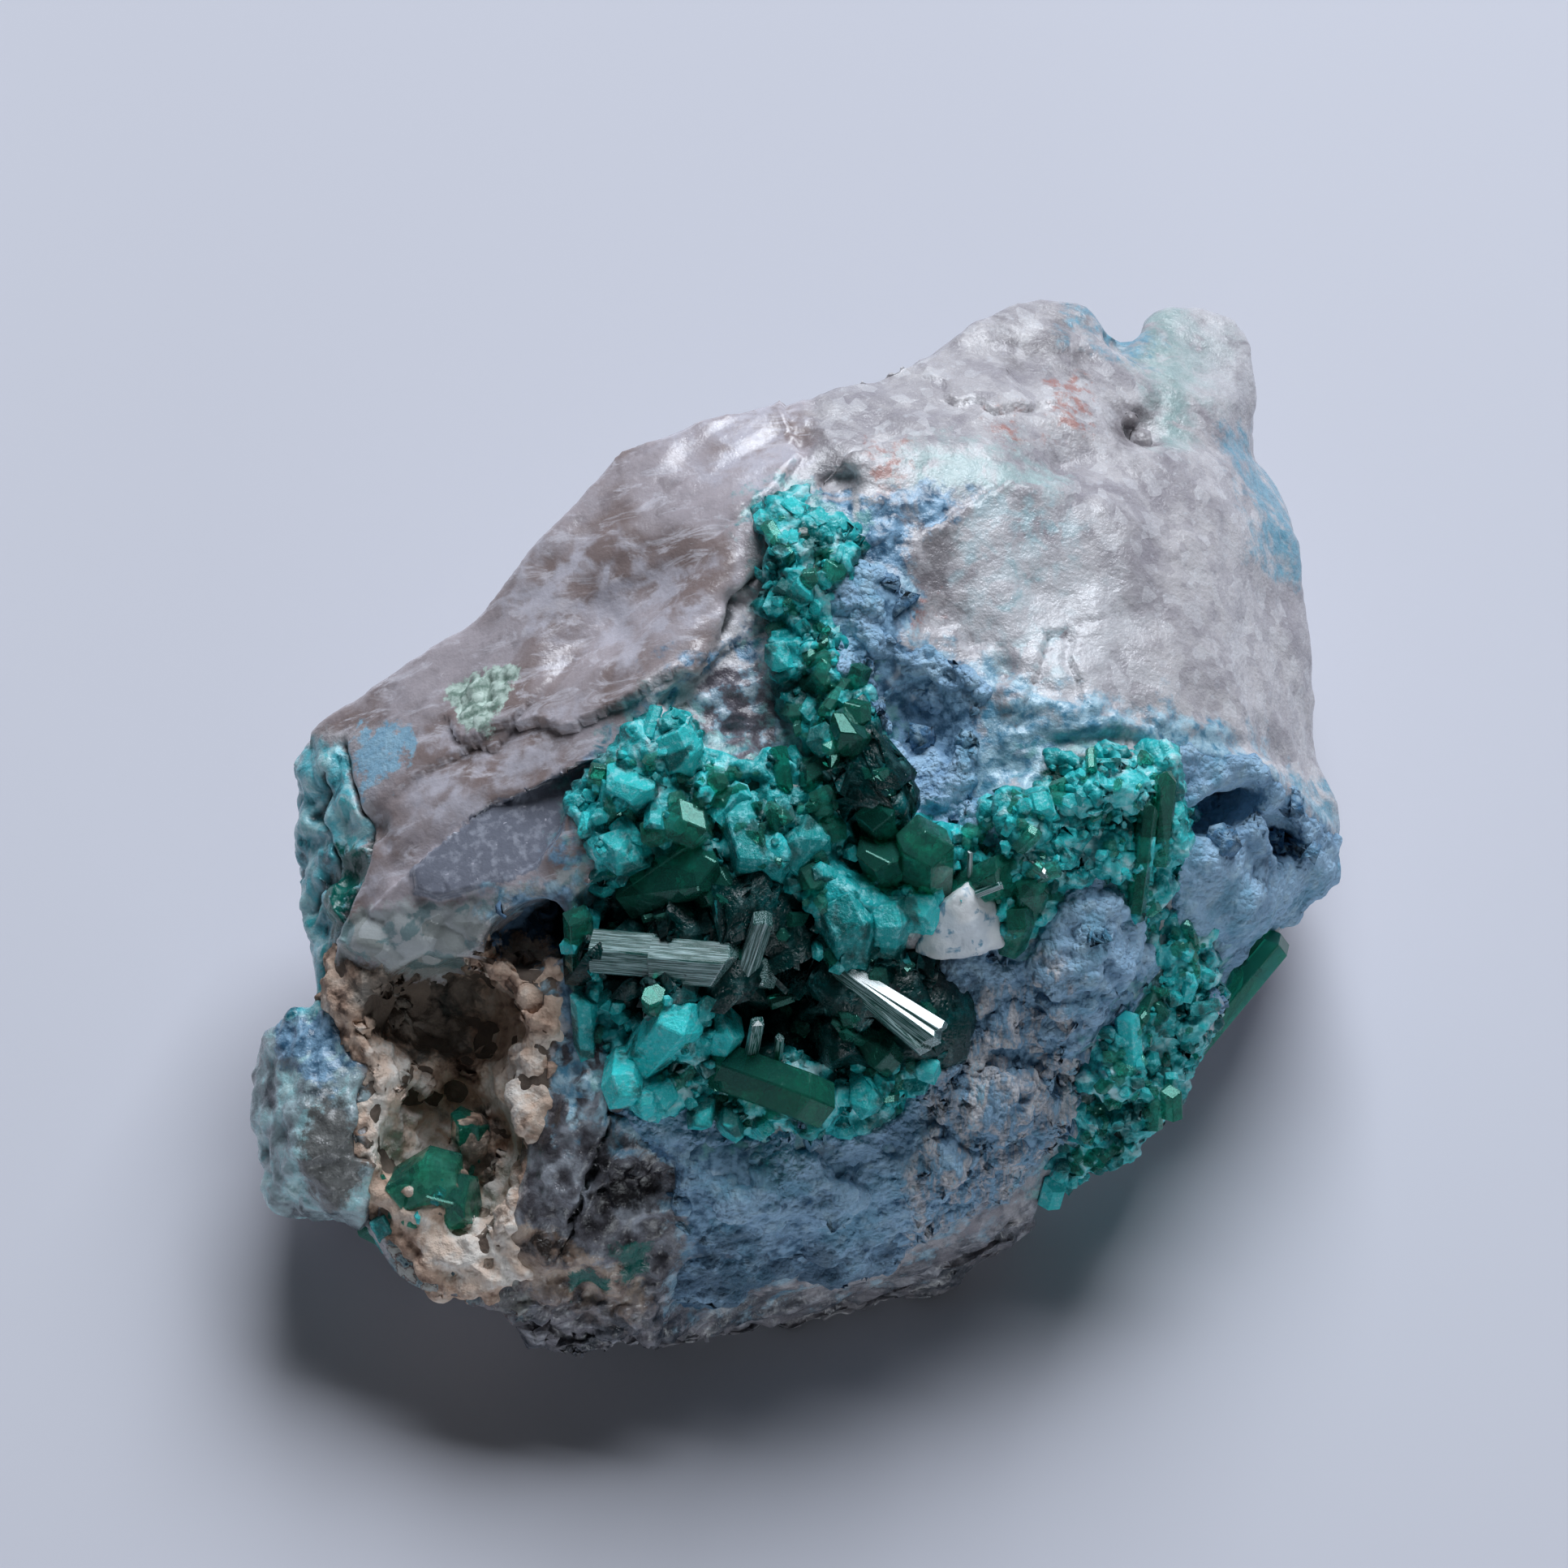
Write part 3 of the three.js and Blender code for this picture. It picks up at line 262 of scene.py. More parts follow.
# %% Outlines on the chart
SLAB = [
    (960, 400), (1010, 530), (985, 585), (935, 620), (925, 650), (930, 700), (905, 740), (880, 790),
    (850, 815), (800, 845), (785, 895), (740, 945), (705, 985), (720, 1030), (735, 1080), (725, 1105),
    (690, 1100), (615, 1105), (590, 1160), (545, 1205), (480, 1190), (420, 1185), (402, 1160), (430, 1090),
    (440, 1050), (440, 1010), (480, 960), (510, 915), (470, 895), (430, 900), (300, 900), (500, 690),
    (700, 480),
]
DARK_FACET = [
    (600, 985), (650, 965), (740, 930), (765, 915), (740, 960), (705, 985), (690, 1030), (660, 1070),
    (620, 1090), (540, 1110), (510, 1100), (505, 1070), (570, 1010),
]
SUGAR = [
    (1000, 590), (990, 380), (1300, 280), (1600, 320), (1720, 900), (1720, 1010), (1640, 1025),
    (1590, 990), (1545, 940), (1480, 950), (1445, 915), (1380, 890), (1330, 870), (1250, 860), (1205, 830),
    (1160, 800), (1105, 790), (1110, 740), (1140, 700), (1120, 660), (1130, 635), (1100, 605), (1010, 600),
]
MINT = [
    (550, 850), (565, 835), (590, 830), (610, 822), (640, 825), (635, 850), (620, 875), (600, 905),
    (585, 905), (568, 890),
]
POCKET = [
    (785, 895), (840, 870), (870, 920), (900, 945), (990, 935), (1000, 880), (1040, 850), (1065, 860),
    (1085, 900), (1080, 960), (1100, 965), (1105, 1010), (1150, 1000), (1175, 1030), (1180, 1080),
    (1115, 1160), (1165, 1290), (1130, 1330), (1110, 1370), (1060, 1395), (1000, 1390), (945, 1395),
    (890, 1395), (870, 1350), (800, 1370), (760, 1330), (745, 1280), (730, 1240), (715, 1180), (710, 1120),
    (745, 1110), (735, 1080), (705, 985),
]
SEAM = [
    (935, 625), (985, 605), (1000, 640), (1050, 650), (1045, 710), (1020, 740), (1030, 790), (1060, 830),
    (1050, 870), (1000, 890), (965, 870), (955, 800), (945, 760), (950, 700),
]
RIGHT_GREEN = [
    (1175, 1030), (1240, 980), (1280, 990), (1295, 930), (1360, 920), (1440, 930), (1455, 1000),
    (1440, 1090), (1415, 1175), (1395, 1130), (1370, 1070), (1310, 1090), (1290, 1130), (1260, 1170),
    (1235, 1150), (1225, 1110), (1190, 1085),
]
LOWER_GREEN = [
    (1345, 1290), (1405, 1250), (1425, 1200), (1445, 1130), (1500, 1140), (1480, 1260), (1480, 1300),
    (1450, 1350), (1375, 1440), (1290, 1475), (1300, 1440), (1330, 1380),
]
BLUE_POCKET = [
    (1040, 850), (1010, 800), (1020, 740), (1045, 700), (1090, 700), (1125, 745), (1110, 795), (1160, 805),
    (1200, 830), (1212, 860), (1205, 950), (1195, 985), (1240, 985), (1240, 1040), (1165, 1045),
    (1150, 1000), (1105, 1010), (1100, 965), (1080, 960), (1085, 900), (1065, 860),
]
LOWER_BLUE = [
    (770, 1370), (800, 1405), (842, 1440), (835, 1480), (850, 1540), (835, 1605), (900, 1602), (960, 1570),
    (1040, 1572), (1100, 1545), (1170, 1505), (1230, 1475), (1285, 1425), (1325, 1385), (1345, 1290),
    (1405, 1250), (1425, 1200), (1400, 1150), (1395, 1110), (1370, 1070), (1310, 1090), (1290, 1130),
    (1260, 1175), (1232, 1165), (1160, 1185), (1140, 1230), (1175, 1290), (1130, 1330), (1110, 1370),
    (1060, 1395), (1000, 1390), (945, 1395), (890, 1395), (870, 1350), (810, 1365),
]
RIGHT_BLUE = [
    (1445, 915), (1500, 930), (1545, 935), (1590, 980), (1640, 1020), (1680, 1080), (1620, 1130),
    (1560, 1145), (1530, 1190), (1500, 1240), (1480, 1260), (1490, 1170), (1450, 1130), (1440, 1080),
    (1455, 1000),
]
VUG = [
    (400, 1180), (470, 1195), (545, 1215), (590, 1175), (625, 1140), (655, 1120), (690, 1170), (690, 1230),
    (680, 1290), (680, 1330), (668, 1380), (645, 1410), (637, 1460), (625, 1510), (655, 1575), (610, 1600),
    (540, 1590), (500, 1560), (470, 1520), (462, 1450), (445, 1420), (452, 1320), (430, 1290), (400, 1235),
]
DARK_BLUE_ROOF = [
    (610, 1105), (690, 1100), (725, 1105), (722, 1180), (740, 1270), (705, 1300), (690, 1240), (690, 1180),
    (655, 1125),
]
BROWN = [
    (700, 1260), (745, 1275), (760, 1340), (800, 1400), (842, 1440), (835, 1480), (850, 1540), (850, 1600),
    (800, 1720), (680, 1720), (620, 1620), (650, 1575), (625, 1510), (640, 1450), (645, 1400), (670, 1370),
    (685, 1300),
]
LOWER_RIM = [
    (560, 1570), (650, 1580), (750, 1600), (850, 1590), (1000, 1600), (1100, 1575), (1180, 1535),
    (1240, 1500), (1320, 1480), (1300, 1700), (700, 1760), (560, 1660),
]
LOBE = [
    (290, 1240), (380, 1225), (400, 1260), (440, 1300), (455, 1320), (445, 1400), (465, 1435), (460, 1470),
    (452, 1540), (290, 1560),
]
FIN = [
    (330, 900), (425, 915), (425, 960), (432, 1010), (440, 1050), (430, 1090), (405, 1160), (400, 1235),
    (425, 1285), (380, 1260), (350, 1260), (330, 1100),
]
VOID = [[(745, 1120), (900, 1100), (1000, 1130), (1010, 1290), (900, 1300), (880, 1225), (750, 1225),
         (735, 1180)],
        [(1000, 1200), (1110, 1180), (1180, 1290), (1130, 1300), (1030, 1290)],
        [(1050, 870), (1095, 1000), (1060, 1040), (1035, 960), (1035, 890)]]
GRAINS = [
    (402, 1160), (420, 1188), (450, 1185), (480, 1195), (520, 1205), (545, 1210), (565, 1195), (595, 1165),
    (615, 1135), (625, 1108), (690, 1104), (728, 1108), (720, 1060), (680, 1085), (625, 1098), (545, 1118),
    (500, 1112), (440, 1120),
]


def to_stretch(start, end, x, y):
    """Chart units from chart places to the straight stretch between two others."""
    (x1, y1), (x2, y2) = start, end
    along = ((x - x1) * (x2 - x1) + (y - y1) * (y2 - y1)) / ((x2 - x1) ** 2 + (y2 - y1) ** 2)
    along = np.clip(along, 0, 1)
    return np.hypot(x - x1 - along * (x2 - x1), y - y1 - along * (y2 - y1))


def distance_to(outline, x, y):
    """Millimetres from chart places to an outline, positive inside it."""
    inside = np.zeros(len(x), dtype=bool)
    nearest = np.full(len(x), 1e9)
    for (x1, y1), (x2, y2) in zip(outline, outline[1:] + outline[:1]):
        crossing = (y1 > y) != (y2 > y)
        if y1 != y2:
            inside ^= crossing & (x < (x2 - x1) * (y - y1) / (y2 - y1) + x1)
        gap = to_stretch((x1, y1), (x2, y2), x, y)
        nearest = np.minimum(nearest, gap)
    return np.where(inside, nearest, -nearest) / UNITS


def smooth(low, high, value):
    """Zero below low, one above high, and an even slope between them."""
    t = np.clip((np.asarray(value, dtype=float) - low) / (high - low), 0, 1)
    return t * t * (3 - 2 * t)


# %% Front or back
def depth_behind_face(piece, tree):
    """Millimetres of stone between the camera's first sight of a line and each vertex on it."""
    behind = np.zeros(len(piece.data.vertices))
    for i, vertex in enumerate(piece.data.vertices):
        way = vertex.co - EYE
        reach = way.length
        hit = tree.ray_cast(EYE, way / reach, reach)
        if hit[0] is not None:
            behind[i] = (reach - hit[3]) / MM
    return behind


def tree_of(piece):
    """A search tree of a piece's surface."""
    return BVHTree.FromObject(piece, bpy.context.evaluated_depsgraph_get())


skin_tree = tree_of(stone)
x, y, _ = chart_of(points_of(stone))
behind = depth_behind_face(stone, skin_tree)
print("front vertices:", int((behind < FACE_DEPTH).sum()), "of", len(behind))

# %% Keep a plain copy for the crusts
plain = bpy.data.objects.new("plain_skin", stone.data.copy())
plain_behind = behind.copy()

# %% [markdown]
# The skin's squares are fine enough for the back. On the face, where clear quartz shows, they are
# cut into quarters, so that ledges and grains can stand out in the mesh itself.

# %% Refine the part of the skin that shows quartz
GREENS = [POCKET, SEAM, RIGHT_GREEN, LOWER_GREEN]
BLUES = [BLUE_POCKET, LOWER_BLUE, RIGHT_BLUE]


def deepest(outlines, x, y):
    """The greatest of the distances to several outlines."""
    return np.max([distance_to(outline, x, y) for outline in outlines], axis=0)


covered = deepest(GREENS + BLUES + [VUG], x, y)
fine = (behind < FACE_DEPTH) & (covered < 0.5)
pick_faces(stone, [all(fine[v] for v in face.vertices) for face in stone.data.polygons])
bpy.ops.mesh.subdivide(number_cuts=1)
bpy.ops.object.mode_set(mode="OBJECT")
print("skin after refining:", triangles(stone), "triangles")
x, y, _ = chart_of(points_of(stone))
behind = depth_behind_face(stone, skin_tree)
front = 1 - smooth(5, 11, behind)
edges = np.empty(len(stone.data.edges) * 2, dtype=int)
stone.data.edges.foreach_get("vertices", edges)
first, second = edges[0::2], edges[1::2]
shared = np.bincount(edges, minlength=len(front)) + 1
for _ in range(12):
    total = np.bincount(first, front[second], len(front)) + np.bincount(second, front[first], len(front))
    front = (front + total) / shared

# %% [markdown]
# ## Sculpting the stone
# Procedural textures push the skin in and out, as clay tools would: soft clouds for weathered
# quartz, cells for grains and chips, stretched noise for layered stone. A vertex group says how
# strongly each tool works at each place. The textures sit on an empty that is scaled and turned,
# so that a grain can be drawn out along one direction.

# %% Tools for relief
def weigh(piece, name, weights):
    """A vertex group with one weight for every vertex."""
    group = piece.vertex_groups.new(name=name)
    for index in np.nonzero(weights > 0.004)[0]:
        group.add([int(index)], float(weights[index]), "REPLACE")
    return name


def relief(piece, kind, size, height, group="", turn=(0, 0, 0), middle=0.5, **settings):
    """Pushes the surface out by a procedural texture whose grain has the given size in mm."""
    texture = bpy.data.textures.new("grain", kind)
    texture.noise_scale = 1
    for key, value in settings.items():
        setattr(texture, key, value)
    gauge = bpy.data.objects.new("gauge", None)
    gauge.rotation_euler = [math.radians(angle) for angle in turn]
    gauge.scale = [s * MM for s in (size if isinstance(size, tuple) else (size,) * 3)]
    bpy.context.scene.collection.objects.link(gauge)
    bpy.context.view_layer.update()
    modify(piece, "DISPLACE", texture=texture, texture_coords="OBJECT", texture_coords_object=gauge,
           strength=height * MM, mid_level=middle, vertex_group=group)
    bpy.data.objects.remove(gauge)
    bpy.data.textures.remove(texture)


def distance_to_line(line, x, y):
    """Millimetres from chart places to an open line, and the side: positive on its right."""
    nearest = np.full(len(x), 1e9)
    side = np.ones(len(x))
    for (x1, y1), (x2, y2) in zip(line, line[1:]):
        gap = to_stretch((x1, y1), (x2, y2), x, y)
        turn = (x2 - x1) * (y - y1) - (y2 - y1) * (x - x1)
        closer = gap < nearest
        nearest = np.where(closer, gap, nearest)
        side = np.where(closer, np.sign(turn), side)
    return nearest / UNITS, side


def frayed(distance, places, size, amount):
    """A distance with noise added, so that the border it makes is ragged."""
    spots = places / (size * MM)
    wobble = np.array([noise.noise(spot) + 0.5 * noise.noise(spot * 2.3) for spot in spots])
    return distance + wobble * amount


# %% Masks of the stone
BROKEN = [
    [(1205, 830), (1270, 850), (1330, 862), (1400, 870), (1480, 890), (1560, 930), (1500, 960), (1440, 930),
     (1370, 920), (1300, 935), (1280, 990), (1240, 990), (1190, 1000), (1210, 900)],
    [(850, 862), (880, 822), (962, 822), (985, 870), (995, 925), (950, 945), (900, 935), (872, 912)],
    [(1000, 600), (1120, 612), (1170, 618), (1160, 640), (1120, 660), (1130, 745), (1060, 700), (1000, 650)],
    [(1130, 745), (1200, 780), (1290, 850), (1210, 835), (1140, 790)],
]
masks = {
    "slab": distance_to(SLAB, x, y),
    "facet": distance_to(DARK_FACET, x, y),
    "sugar": distance_to(SUGAR, x, y),
    "mint": distance_to(MINT, x, y),
    "green": deepest(GREENS, x, y),
    "blue": deepest(BLUES + [DARK_BLUE_ROOF], x, y),
    "vug": distance_to(VUG, x, y),
    "brown": distance_to(BROWN, x, y),
    "rim": distance_to(LOWER_RIM, x, y),
    "lobe": distance_to(LOBE, x, y),
    "fin": distance_to(FIN, x, y),
    "grains": distance_to(GRAINS, x, y),
}
on = {key: smooth(-0.3, 0.5, value) * front for key, value in masks.items()}
near = {key: smooth(-1.3, -0.4, masks[key]) * front for key in ("green", "blue", "vug")}
bare = 1 - np.maximum.reduce(list(near.values()))
rough = (1 - on["slab"]) * bare
for name, weights in {
    "rough": rough, "slab": on["slab"] * (1 - on["facet"]) * bare, "sugar": on["sugar"] * bare,
    "mint": on["mint"], "brown": on["brown"] * bare, "rim": on["rim"] * bare, "back": 1 - front,
    "grains": on["grains"] * bare, "lobe": on["lobe"], "fin": on["fin"] * bare,
    "broken": smooth(-0.3, 0.5, deepest(BROKEN, x, y)) * front * bare,
}.items():
    weigh(stone, name, weights)
print("groups:", len(stone.vertex_groups))

# %% Relief of the stone
relief(stone, "CLOUDS", 7, 1.0, "rough", noise_depth=1)
relief(stone, "VORONOI", 5.5, 0.7, "sugar", turn=(20, 30, 10), distance_metric="CHEBYCHEV")
relief(stone, "CLOUDS", 2.4, 0.3, "sugar", noise_depth=2)
relief(stone, "CLOUDS", 0.8, 0.1, "sugar", noise_depth=2)
relief(stone, "VORONOI", (2.4, 1.4, 1.6), 0.6, "broken", turn=(20, 30, 40), distance_metric="MANHATTAN")
relief(stone, "CLOUDS", 0.9, 0.5, "broken", noise_depth=3)
relief(stone, "CLOUDS", (6, 1.8, 3), 0.5, "slab", turn=(0, 20, 35), noise_depth=2)
relief(stone, "CLOUDS", (2.4, 0.7, 1.2), 0.12, "slab", turn=(0, 20, 35), noise_depth=2)
relief(stone, "CLOUDS", 0.7, 0.9, "mint", noise_depth=2)
relief(stone, "VORONOI", 4.4, 1.5, "brown", turn=(10, 40, 20), distance_metric="CHEBYCHEV")
relief(stone, "VORONOI", 1.6, 0.6, "brown", turn=(70, 20, 50), distance_metric="MANHATTAN")
relief(stone, "CLOUDS", 1.0, 0.4, "brown", noise_depth=3)
relief(stone, "CLOUDS", (7, 1.5, 1.3), 1.3, "rim", turn=(10, -18, 8), noise_depth=3)
relief(stone, "VORONOI", (3.4, 1.0, 0.9), 0.5, "rim", turn=(10, -18, 8), distance_metric="MANHATTAN")
relief(stone, "VORONOI", 7.5, 1.3, "back", distance_metric="CHEBYCHEV", middle=0.4)
relief(stone, "VORONOI", 2.6, 0.7, "back", turn=(30, 60, 0), distance_metric="MANHATTAN")
relief(stone, "CLOUDS", 2.8, 0.8, "back", noise_depth=3)
relief(stone, "VORONOI", 2.6, -1.6, "grains", distance_metric="DISTANCE_SQUARED", middle=0.3)
relief(stone, "VORONOI", 3.4, 0.9, "lobe", turn=(40, 0, 20), distance_metric="CHEBYCHEV")
relief(stone, "VORONOI", 1.3, 0.35, "lobe", distance_metric="MANHATTAN")
relief(stone, "CLOUDS", 0.6, 0.22, "lobe", noise_depth=3)
relief(stone, "VORONOI", 3.0, 1.6, "fin", turn=(0, 40, 60), distance_metric="CHEBYCHEV")
relief(stone, "VORONOI", 1.1, -0.5, "fin", distance_metric="DISTANCE_SQUARED", middle=0.3)

# %% [markdown]
# Ledges and cracks are lines on the chart. Beside a ledge line the skin steps down at once and
# climbs back slowly; a crack is a narrow trench, darkened in the material partly with painted shade.
# Small pits and dents are round. The dark facet of the slab is a flat break, so its vertices are
# laid on one plane.

# %% Ledges, cracks and the flat facet
LEDGES = [  # line, step in mm (sunk on the line's right), how far the step reaches
    ([(900, 795), (840, 826), (800, 848), (760, 871), (700, 896), (620, 890), (585, 912)], -0.6, 2.6),
    ([(790, 893), (745, 931), (690, 951), (650, 966), (600, 991), (530, 1046), (503, 1072)], 0.6, 2.0),
    ([(560, 900), (600, 925), (640, 880)], 0.35, 0.8),
    ([(1085, 545), (1040, 560), (1005, 600)], 0.7, 1.5),
    ([(960, 500), (985, 560), (960, 600), (930, 620)], -0.4, 1.2),
    ([(1165, 468), (1200, 488), (1230, 505), (1270, 500)], 0.35, 1.2),
    ([(1265, 860), (1290, 780), (1320, 770), (1335, 850)], 0.4, 1.2),
    ([(1000, 650), (1130, 660), (1240, 600), (1300, 610)], -0.5, 1.4),
    ([(620, 1620), (740, 1650), (900, 1640), (1080, 1600), (1220, 1530)], 0.7, 1.6),
    ([(560, 1590), (640, 1640), (700, 1690)], 0.6, 1.0),
]
CRACKS = [  # line, depth in mm, half width in mm
    ([(752, 1285), (757, 1370), (737, 1420), (720, 1470), (690, 1555)], 0.8, 0.14),
    ([(757, 1370), (780, 1380), (800, 1405), (842, 1440)], 0.5, 0.16),
    ([(425, 915), (432, 1000), (442, 1050), (430, 1092), (405, 1160), (400, 1235), (440, 1300)], 0.6, 0.22),
    ([(440, 1300), (456, 1322), (445, 1350), (443, 1420), (466, 1436), (461, 1470), (453, 1530)], 0.5, 0.2),
    # this line stands for the shadow along the seam: a trench with painted shade
    ([(945, 695), (905, 742), (888, 778)], 0.5, 0.2),
    ([(395, 950), (380, 1000), (400, 1050), (380, 1120)], 0.5, 0.2),
]
PITS = [  # place, half width in mm, depth in mm
    ((1328, 440), 0.9, 0.35), ((1400, 520), 1.2, 0.35), ((1025, 590), 0.8, 0.9), ((450, 1020), 0.9, 0.9),
    ((905, 742), 0.5, 0.8), ((902, 900), 0.35, 0.4), ((800, 1455), 1.3, 1.3), ((760, 1462), 0.9, 0.9),
    ((418, 1075), 0.8, 0.7), ((375, 1040), 0.6, 0.6), ((1085, 1610), 0.7, 0.5), ((870, 1600), 1.2, 0.7),
]
places = points_of(stone)
normals = normals_of(stone)
push = np.zeros(len(places))
wander = np.array([noise.noise(spot) for spot in places / (1.6 * MM)]) * UNITS * 0.5
for line, step, spread in LEDGES:
    gap, side = distance_to_line(line, x + wander, y - wander)
    push += np.where(side > 0, -step * np.exp(-gap / spread), 0) * front
crack_and_seam_shade = np.zeros(len(places))
for line, depth_of, half in CRACKS:
    gap, side = distance_to_line(line, x + wander, y - wander)
    push -= depth_of * np.exp(-(gap / half) ** 2) * front
    crack_and_seam_shade = np.maximum(crack_and_seam_shade, np.exp(-(gap / half) ** 2) * front)
for (pit_x, pit_y), half, depth_of in PITS:
    push -= depth_of * np.exp(-(np.hypot(x + wander - pit_x, y - wander - pit_y) / UNITS / half) ** 2) * front
push -= 2.2 * smooth(-0.2, 0.9, deepest(VOID, x, y)) * front
places = places + normals * push[:, None] * MM

flat = (masks["facet"] > -0.1) & (front > 0.5)
out = chart_of(places)[2]
plane = np.linalg.lstsq(np.c_[x[flat], y[flat], np.ones(flat.sum())], out[flat], rcond=None)[0]
level = plane[0] * x + plane[1] * y + plane[2] - 0.35
lay = smooth(-0.05, 0.3, masks["facet"]) * front
places = places + np.outer((level - out) * lay * 0.85, np.array(OUT)) * MM
places[:, 2] = np.maximum(places[:, 2], FLOOR_GAP)
move_to(stone, places)
only(stone)
bpy.ops.object.shade_smooth()

# %% [markdown]
# ## Distances for the materials
# The stone carries its distances as attributes, one number per vertex. A material reads them,
# frays them with noise and gets the border of each stain where the mineral really ends. One
# set of outlines marks painted shade on the lower side instead of a mineral.

# %% Store the distances
def note(piece, name, values):
    """Stores one number per vertex for the materials to read."""
    kept = piece.data.attributes.new(name, "FLOAT", "POINT")
    kept.data.foreach_set("value", np.asarray(values, dtype=np.float32))


STAINS = {
    "seam_blue": [[(1000, 600), (1060, 605), (1135, 612), (1220, 606), (1200, 622), (1160, 640),
                   (1130, 655), (1110, 700), (1130, 745), (1110, 760), (1060, 700), (1000, 650)]],
    "pale_green": [[(1110, 555), (1180, 545), (1250, 560), (1300, 590), (1240, 605), (1120, 605)]],
    "edge_teal": [[(1525, 540), (1600, 560), (1640, 640), (1640, 730), (1570, 700), (1550, 640)],
                  [(1600, 970), (1700, 960), (1700, 1060), (1640, 1030)],
                  [(1325, 370), (1400, 370), (1400, 430), (1360, 430)]],
    "ridge": [BROKEN[0]],
    "sugar_teal": [[(1150, 640), (1240, 610), (1320, 650), (1330, 720), (1290, 740), (1330, 830),
                    (1310, 870), (1230, 840), (1200, 760), (1180, 700)]],
    "end_blue": [[(445, 895), (505, 900), (510, 920), (470, 970), (440, 985)]],
    "rust": [[(1070, 548), (1112, 548), (1115, 595), (1080, 595)], [(1300, 470), (1340, 460),
              (1335, 530), (1300, 540)], [(1225, 515), (1255, 510), (1250, 540)],
             [(1125, 735), (1150, 735), (1150, 755), (1125, 755)]],
    "knob_green": [[(1400, 380), (1450, 370), (1500, 420), (1490, 470), (1450, 540), (1420, 500)]],
    "smoky": [[(1005, 540), (1050, 540), (1060, 600), (1010, 605)], [(1240, 400), (1330, 395),
               (1340, 440), (1270, 450)], [(1375, 490), (1430, 490), (1420, 550), (1375, 545)],
              [(1100, 640), (1170, 650), (1180, 740), (1120, 740)]],
    "tan_streak": [[(520, 1505), (640, 1510), (760, 1560), (800, 1600), (770, 1640), (650, 1600),
                    (560, 1570)]],
    "mottled": [[(470, 1515), (540, 1520), (600, 1560), (650, 1590), (640, 1650), (540, 1610),
                 (470, 1570)]],
    "lower_brown": [[(1180, 1300), (1290, 1260), (1340, 1300), (1330, 1400), (1280, 1470),
                     (1200, 1500), (1160, 1440)]],
    "lobe_blue": [[(330, 1250), (440, 1240), (455, 1320), (400, 1335), (340, 1310)]],
    "green_specks": [[(755, 1525), (800, 1535), (795, 1575), (760, 1570)], [(700, 1562), (750, 1565),
                      (745, 1590), (705, 1588)], [(400, 1040), (445, 1045), (425, 1100), (400, 1160),
                      (392, 1110)]],
    "island": [BROKEN[1]],
    "pocket_edge": [[(800, 845), (900, 790), (955, 790), (960, 830), (880, 820), (850, 862), (872, 912),
                     (800, 890), (740, 945), (720, 1030), (735, 1080), (700, 1085), (690, 1030),
                     (705, 985), (740, 930), (785, 893)]],
    "white_vein": [[(520, 930), (640, 900), (740, 880), (700, 930), (600, 985), (520, 1040)],
                   [(640, 690), (800, 680), (870, 700), (900, 760), (760, 800), (700, 770), (640, 760)],
                   [(440, 1090), (500, 1000), (520, 1060), (600, 1100), (560, 1130), (450, 1120)],
                   [(820, 510), (990, 480), (1000, 590), (930, 620), (880, 570)]],
    "glassy_dark": [[(840, 1445), (800, 1437), (750, 1450), (720, 1475), (740, 1495), (800, 1485)]],
    "film": [[(690, 1290), (745, 1275), (757, 1370), (700, 1400), (665, 1390)],
             [(757, 1370), (800, 1400), (842, 1440), (800, 1437), (760, 1420)]],
    "lobe_glass": [[(375, 1365), (425, 1350), (442, 1390), (440, 1440), (450, 1470), (410, 1480),
                    (365, 1450)]],
    "pale": [[(1170, 640), (1320, 640), (1420, 760), (1380, 850), (1290, 850), (1210, 760)],
             [(1470, 350), (1560, 370), (1570, 470), (1500, 500), (1470, 430)]],
    # painted shade: the underside of the slab and the lower side of the stone, darkened where the light does
    # not reach
    "painted_low_shade": [[(840, 1560), (900, 1545), (1000, 1560), (1000, 1610), (900, 1625), (840, 1610)],
                 [(600, 1170), (600, 1110), (690, 1105), (725, 1110), (700, 1190), (650, 1140)],
                 [(560, 1590), (800, 1605), (1100, 1570), (1240, 1500), (1330, 1440), (1360, 1560),
                  (1240, 1760), (560, 1760)]],
}
stone.vertex_groups.clear()
distances = dict(masks)
distances.update({key: deepest(outlines, x, y) for key, outlines in STAINS.items()})
for key, value in distances.items():
    note(stone, key, np.clip(value, -FAR, FAR) * front - FAR * (1 - front))
note(stone, "front", front)
note(stone, "crack", crack_and_seam_shade)
share = STONE_LIMIT / triangles(stone)
if share < 1:
    modify(stone, "DECIMATE", ratio=share)
print("stone:", triangles(stone), "triangles,", len(stone.data.attributes), "attributes")

# %% [markdown]
# ## Materials
# Every material is a recipe of nodes. A small helper class keeps the recipes short: it adds nodes
# and connects them. Colours are given as they look on a screen and turned into light values.

# %% A helper for recipes
def tint(red, green, blue):
    """A screen colour from 0 to 255 as linear light."""
    shares = [value / 255 for value in (red, green, blue)]
    return [s / 12.92 if s < 0.04 else ((s + 0.055) / 1.055) ** 2.4 for s in shares] + [1]


